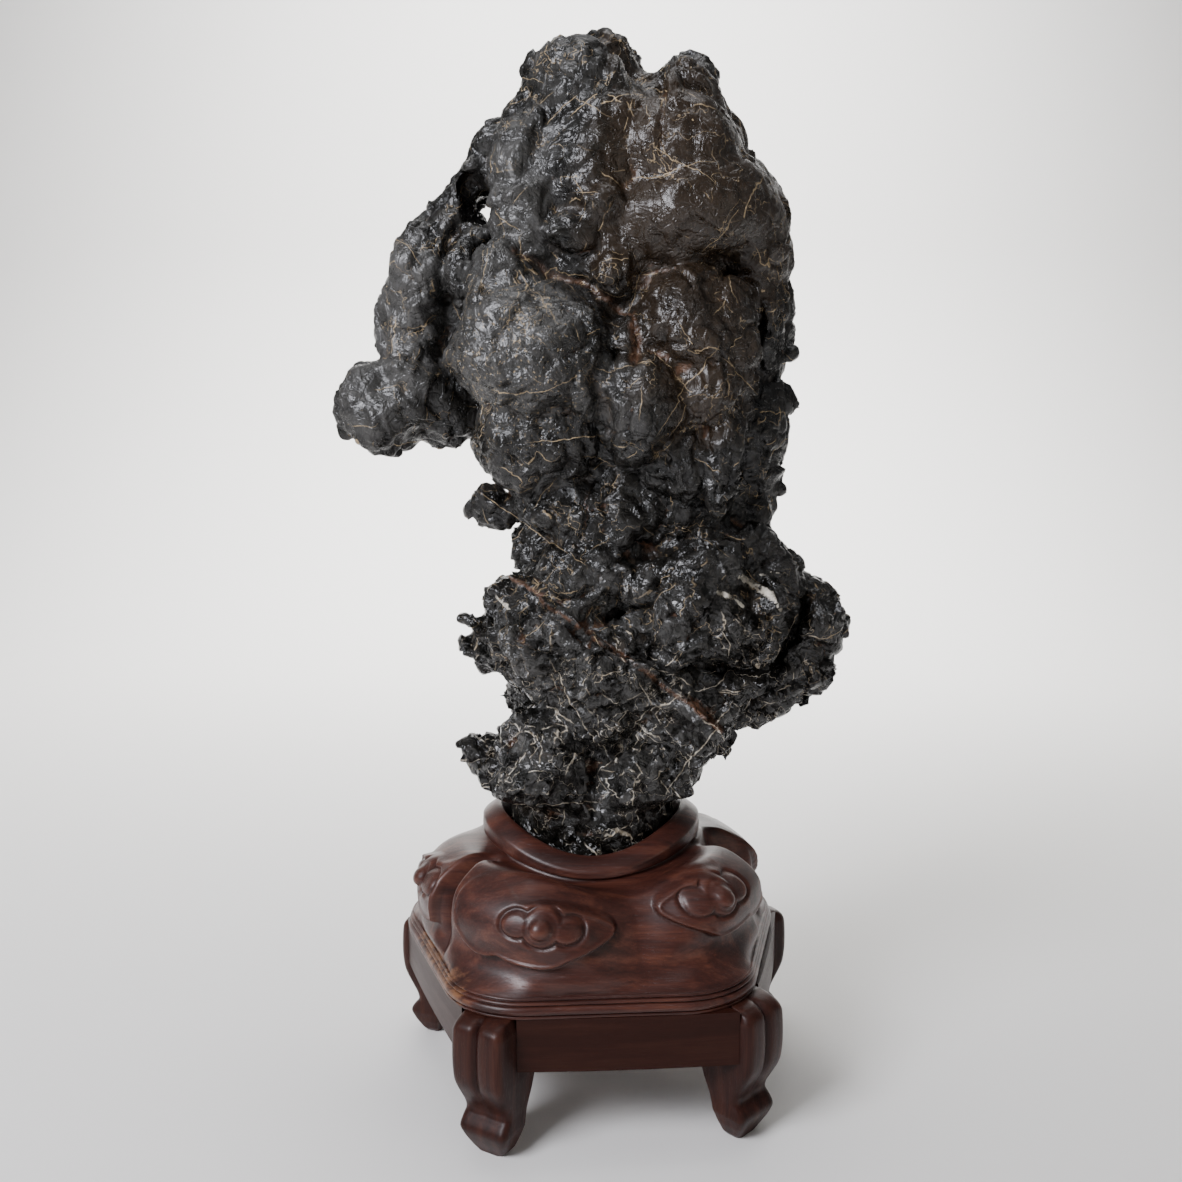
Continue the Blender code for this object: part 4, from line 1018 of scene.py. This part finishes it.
# Waxed black limestone, worn smooth by water and rubbed by hand: nearly black, satin, with tan
# and white calcite threads, rust in the hollows and a brown skin where the stone is smoothest.
def stoneMaterial():
    look = stoneLook
    material, tree = emptyTree("waxedBlackLimestone")
    place = addNode(tree, "ShaderNodeTexCoord").outputs["Object"]
    masks, patterns, shares = {}, {}, {}
    for name in ("recess", "rubbedAndHighlit", "rust", "brown", "pale", "chalk", "wornAndSheen", "knobbly"):
        masks[name] = addNode(tree, "ShaderNodeAttribute", {"attribute_name": name}).outputs["Fac"]

    bend = addNode(tree, "ShaderNodeTexNoise", None,
                   {"Vector": place, "Scale": 1000 / look["bandSize"], "Detail": 5.0})
    centred = addNode(tree, "ShaderNodeVectorMath", {"operation": "SUBTRACT"},
                      {0: bend.outputs["Color"], 1: (0.5, 0.5, 0.5)}).outputs[0]
    shift = addNode(tree, "ShaderNodeVectorMath", {"operation": "SCALE"},
                    {0: centred, "Scale": look["bandShift"]}).outputs[0]
    bent = addNode(tree, "ShaderNodeVectorMath", {"operation": "ADD"}, {0: place, 1: shift}).outputs[0]

    lines = []              # threads, each with its cluster size, how bare the stone is, and above
    facets = []             # small flats, each tilted its own way
    for spacing, width, *cluster in look["seams"]:
        cells = addNode(tree, "ShaderNodeTexVoronoi", {"feature": "F1"},
                        {"Vector": bent, "Scale": 1000 / spacing})
        away = addNode(tree, "ShaderNodeVectorMath", {"operation": "SUBTRACT"},
                       {0: bent, 1: cells.outputs["Position"]}).outputs[0]
        facing = addNode(tree, "ShaderNodeVectorMath", {"operation": "SUBTRACT"},
                         {0: cells.outputs["Color"], 1: (0.5, 0.5, 0.5)}).outputs[0]
        facing = addNode(tree, "ShaderNodeVectorMath", {"operation": "NORMALIZE"}, {0: facing}).outputs[0]
        depth = addNode(tree, "ShaderNodeVectorMath", {"operation": "DOT_PRODUCT"},
                        {0: away, 1: facing}).outputs["Value"]
        facets.append(depth)
        depth = addNode(tree, "ShaderNodeMath", {"operation": "ABSOLUTE"}, {0: depth}).outputs[0]
        edge = addNode(tree, "ShaderNodeMath", {"operation": "MULTIPLY_ADD"},
                       {0: masks["pale"], 1: 0.5 * width * mm, 2: width * mm}).outputs[0]
        line = addNode(tree, "ShaderNodeMapRange", {"interpolation_type": "SMOOTHSTEP"},
                       {"Value": depth, "From Min": width * 0.2 * mm, "From Max": edge,
                        "To Min": 1.0, "To Max": 0.0}).outputs[0]
        ends = addNode(tree, "ShaderNodeMapRange", {"interpolation_type": "SMOOTHSTEP"},
                       {"Value": cells.outputs["Distance"], "From Min": 0.35, "From Max": 0.6,
                        "To Min": 1.0, "To Max": 0.0}).outputs[0]
        line = addNode(tree, "ShaderNodeMath", {"operation": "MULTIPLY"}, {0: line, 1: ends}).outputs[0]
        lines.append((line, *cluster))
    for spacing, width, *cluster in look["curls"]:
        winding = addNode(tree, "ShaderNodeTexNoise", None,
                          {"Vector": bent, "Scale": 1000 / spacing, "Detail": 3.0, "Roughness": 0.55})
        level = addNode(tree, "ShaderNodeMath", {"operation": "SUBTRACT"},
                        {0: winding.outputs["Fac"], 1: 0.5})
        level = addNode(tree, "ShaderNodeMath", {"operation": "ABSOLUTE"}, {0: level.outputs[0]}).outputs[0]
        line = addNode(tree, "ShaderNodeMapRange", {"interpolation_type": "SMOOTHSTEP"},
                       {"Value": level, "From Min": 0.0, "From Max": width, "To Min": 1.0, "To Max": 0.0})
        lines.append((line.outputs[0], *cluster))

    threads = 0.0           # the strongest of all the threads, each only inside its clusters
    for line, size, bare, above in lines:
        lifted = addNode(tree, "ShaderNodeTexNoise", None,
                         {"Vector": bent, "Scale": 1000 / size, "Detail": 3.0}).outputs["Fac"]
        for mask, more in (("pale", above), ("recess", 0.08), ("brown", 0.06)):
            lifted = addNode(tree, "ShaderNodeMath", {"operation": "MULTIPLY_ADD"},
                             {0: masks[mask], 1: more, 2: lifted}).outputs[0]
        patch = addNode(tree, "ShaderNodeMapRange", {"interpolation_type": "SMOOTHSTEP"},
                        {"Value": lifted, "From Min": bare + above, "From Max": bare + above + 0.08})
        net = addNode(tree, "ShaderNodeMath", {"operation": "MULTIPLY"}, {0: line, 1: patch.outputs[0]})
        threads = addNode(tree, "ShaderNodeMath", {"operation": "MAXIMUM"},
                          {0: threads, 1: net.outputs[0]}).outputs[0]

    for name, (size, detail, rough, bedded) in look["patterns"].items():
        patterns[name] = addNode(tree, "ShaderNodeTexNoise", None,
                                 {"Vector": bent if bedded else place, "Scale": 1000 / size, "Detail": detail,
                                  "Roughness": rough}).outputs["Fac"]
    across, length = 1000 / look["fibreWidth"], 1000 / look["fibreLength"]
    stretched = addNode(tree, "ShaderNodeVectorMath", {"operation": "MULTIPLY"},
                        {0: bent, 1: (across, across, length)}).outputs[0]
    patterns["fibres"] = addNode(tree, "ShaderNodeTexNoise", None,
                                 {"Vector": stretched, "Scale": 1.0, "Detail": 3.0,
                                  "Roughness": 0.6}).outputs["Fac"]

    for coat, (pattern, mask, effect, start, full, most, ease) in look["coats"].items():
        if effect == "times":
            both = addNode(tree, "ShaderNodeMath", {"operation": "MULTIPLY"},
                           {0: masks[mask], 1: patterns[pattern]})
        else:
            both = addNode(tree, "ShaderNodeMath", {"operation": "MULTIPLY_ADD"},
                           {0: masks[mask], 1: effect, 2: patterns[pattern]})
        shares[coat] = addNode(tree, "ShaderNodeMapRange", {"interpolation_type": ease},
                               {"Value": both.outputs[0], "From Min": start, "From Max": full,
                                "To Max": most}).outputs[0]
    crumbly = addNode(tree, "ShaderNodeMapRange", None,
                      {"Value": patterns["crumbs"], "From Min": 0.3, "From Max": 0.6,
                       "To Min": 0.25}).outputs[0]
    specks = addNode(tree, "ShaderNodeMapRange", {"interpolation_type": "SMOOTHSTEP"},
                     {"Value": patterns["pores"], "From Min": 0.62, "From Max": 0.72,
                      "To Max": 0.6}).outputs[0]
    for name, first, second in (("thread", threads, crumbly), ("specks", specks, masks["knobbly"])):
        shares[name] = addNode(tree, "ShaderNodeMath", {"operation": "MULTIPLY"},
                               {0: first, 1: second}).outputs[0]

    paints = {name: hexColour(look[name]) for name in ("grey", "wornAndSheen", "brown", "dust", "rust", "chalk")}
    paints["specks"] = hexColour(look["thread"])
    paints["thread"] = addNode(tree, "ShaderNodeMix", {"data_type": "RGBA"},
                               {0: shares["whiteThread"], 6: hexColour(look["thread"]),
                                7: hexColour(look["chalk"])}).outputs[2]
    colour = hexColour(look["black"])
    for coat in ("grey", "wornAndSheen", "brown", "dust", "rust", "thread", "specks", "chalk"):
        colour = addNode(tree, "ShaderNodeMix", {"data_type": "RGBA"},
                         {0: shares[coat], 6: colour, 7: paints[coat]}).outputs[2]

    roughness = addNode(tree, "ShaderNodeMapRange", None,
                        {"Value": patterns["mottle"], "From Min": 0.3, "From Max": 0.7,
                         "To Min": look["roughness"] + look["roughnessSpread"][0],
                         "To Max": look["roughness"] + look["roughnessSpread"][1]}).outputs[0]
    dull = shares["rust"]
    for coat in ("thread", "dust", "chalk"):
        dull = addNode(tree, "ShaderNodeMath", {"operation": "MAXIMUM"},
                       {0: dull, 1: shares[coat]}).outputs[0]
    for share, more in ((masks["pale"], -look["glossier"]), (dull, look["duller"])):
        roughness = addNode(tree, "ShaderNodeMath", {"operation": "MULTIPLY_ADD"},
                            {0: share, 1: more, 2: roughness}).outputs[0]

    wrinkles = addNode(tree, "ShaderNodeTexNoise", None,
                       {"Vector": bent, "Scale": 1000 / look["wrinkleSize"], "Detail": 2.0,
                        "Distortion": 0.9})
    level = addNode(tree, "ShaderNodeMath", {"operation": "SUBTRACT"},
                    {0: wrinkles.outputs["Fac"], 1: 0.5})
    level = addNode(tree, "ShaderNodeMath", {"operation": "ABSOLUTE"}, {0: level.outputs[0]}).outputs[0]
    creases = addNode(tree, "ShaderNodeMapRange", {"interpolation_type": "SMOOTHSTEP"},
                      {"Value": level, "From Max": look["wrinkleWidth"]}).outputs[0]
    flats = addNode(tree, "ShaderNodeMath", {"operation": "MULTIPLY_ADD"},
                    {0: masks["pale"], 1: 0.4, 2: 0.1}).outputs[0]
    reliefs = [(creases, 0.6, 0.0008)]
    for facet in facets[2:]:                # the larger ones are in the mesh
        height = addNode(tree, "ShaderNodeMath", {"operation": "MULTIPLY"}, {0: facet, 1: flats}).outputs[0]
        reliefs.append((height, 1.0, 1.0))
    reliefs += [(patterns[name], strength, distance) for name, strength, distance in look["bumps"]]
    normal = None
    for height, strength, distance in reliefs:
        relief = {"Strength": strength, "Distance": distance, "Height": height}
        if normal:
            relief["Normal"] = normal
        normal = addNode(tree, "ShaderNodeBump", None, relief).outputs[0]
    shader = addNode(tree, "ShaderNodeBsdfPrincipled", None,
                     {"Base Color": colour, "Roughness": roughness, "IOR": look["ior"], "Metallic": 0.0,
                      "Specular IOR Level": look["shine"], "Normal": normal})
    addNode(tree, "ShaderNodeOutputMaterial", None, {"Surface": shader.outputs[0]})
    return material


view = {
    "place": (-0.006, -0.946, 0.522),
    "down": 6.94,               # degrees below the horizon
    "lens": 34.7,
    "sensor": 36.0,
}
studio = {
    "paper": "#eceae7",
    "air": "#eef0f2",
    "airStrength": 0.2,
    "sweepStart": 1.6,          # m behind the part where the paper starts to rise
    "sweepRound": 1.2,
    "sweepTop": 2.6,
    "sweepSteps": 24,
    "reach": 9.0,               # m of paper to each side and to the front
    # name, place, aim, size, watts, colour and spread in degrees; the paper's light has a grid over
    # it, so that it doesn't reach the stone
    "lights": [
        ("window", (-1.3, -1.4, 1.6), (0, 0, 0.45), 0.9, 74.0, "#f6f7ff", 180),
        ("fill", (1.5, -1.3, 0.8), (0, 0, 0.4), 0.8, 2.5, "#fff4e8", 180),
        ("sky", (0.0, 0.2, 2.3), (0, 0, 0), 1.4, 7.0, "#fafaff", 180),
        ("paperLight", (0.0, 1.1, 3.4), (0, 3.0, 0.2), 2.4, 150.0, "#ffffff", 90),
    ],
}


def buildCamera():
    data = bpy.data.cameras.new("camera")
    data.lens = view["lens"]
    data.sensor_width = view["sensor"]
    camera = bpy.data.objects.new("camera", data)
    bpy.context.scene.collection.objects.link(camera)
    camera.location = view["place"]
    camera.rotation_euler = (math.radians(90 - view["down"]), 0, 0)
    bpy.context.scene.camera = camera


def buildStage():  # paper that lies flat and rises behind in one sweep
    mesh = bpy.data.meshes.new("paperSweep")
    start, bend, steps, reach = (studio[name] for name in ("sweepStart", "sweepRound", "sweepSteps", "reach"))
    profile = [(-reach, 0.0), (start, 0.0)]
    for i in range(1, steps + 1):
        turn = math.radians(90 * i / steps)
        profile.append((start + bend * math.sin(turn), bend * (1 - math.cos(turn))))
    profile.append((start + bend, studio["sweepTop"]))
    rows = [[(x, y, z) for y, z in profile] for x in (-reach, reach)]
    count = len(profile)
    faces = [(i, i + count, i + count + 1, i + 1) for i in range(count - 1)]
    mesh.from_pydata(rows[0] + rows[1], [], faces)
    mesh.shade_smooth()
    floor = bpy.data.objects.new("paperSweep", mesh)
    bpy.context.scene.collection.objects.link(floor)
    material, tree = emptyTree("matteWhitePaper")      # matte seamless paper, with no visible texture
    shader = addNode(tree, "ShaderNodeBsdfPrincipled", None,
                     {"Base Color": hexColour(studio["paper"]), "Roughness": 0.9})
    addNode(tree, "ShaderNodeOutputMaterial", None, {"Surface": shader.outputs[0]})
    mesh.materials.append(material)
    world = bpy.data.worlds.new("studioAir")
    world.use_nodes = True
    background = world.node_tree.nodes["Background"]
    background.inputs["Color"].default_value = hexColour(studio["air"])
    background.inputs["Strength"].default_value = studio["airStrength"]
    bpy.context.scene.world = world
    for name, place, aim, size, watts, colour, spread in studio["lights"]:
        light = bpy.data.lights.new(name, "AREA")
        light.size = size
        light.spread = math.radians(spread)
        light.energy = watts
        light.color = hexColour(colour)[:3]
        lamp = bpy.data.objects.new(name, light)
        bpy.context.scene.collection.objects.link(lamp)
        lamp.location = place
        way = Vector(aim) - Vector(place)
        lamp.rotation_euler = way.to_track_quat("-Z", "Y").to_euler()


buildCamera()
buildStage()
print("camera, floor and lights placed")
buildRock(stoneMaterial())
# the legs and boards stand in shadow: their copies of the wood carry painted shade
shadedLegWood = rosewoodMaterial("oiledRosewoodUprightShaded", 2, 0.5)
shadedBoardWood = rosewoodMaterial("oiledRosewoodBoardShaded", 1, 0.7)
buildStandTop(rosewoodMaterial("oiledRosewoodBlock", 0, 0.0))
for k in range(moulding["sides"]):
    buildApron(k, shadedBoardWood)
    buildLeg(k, shadedLegWood)
print("stand built")
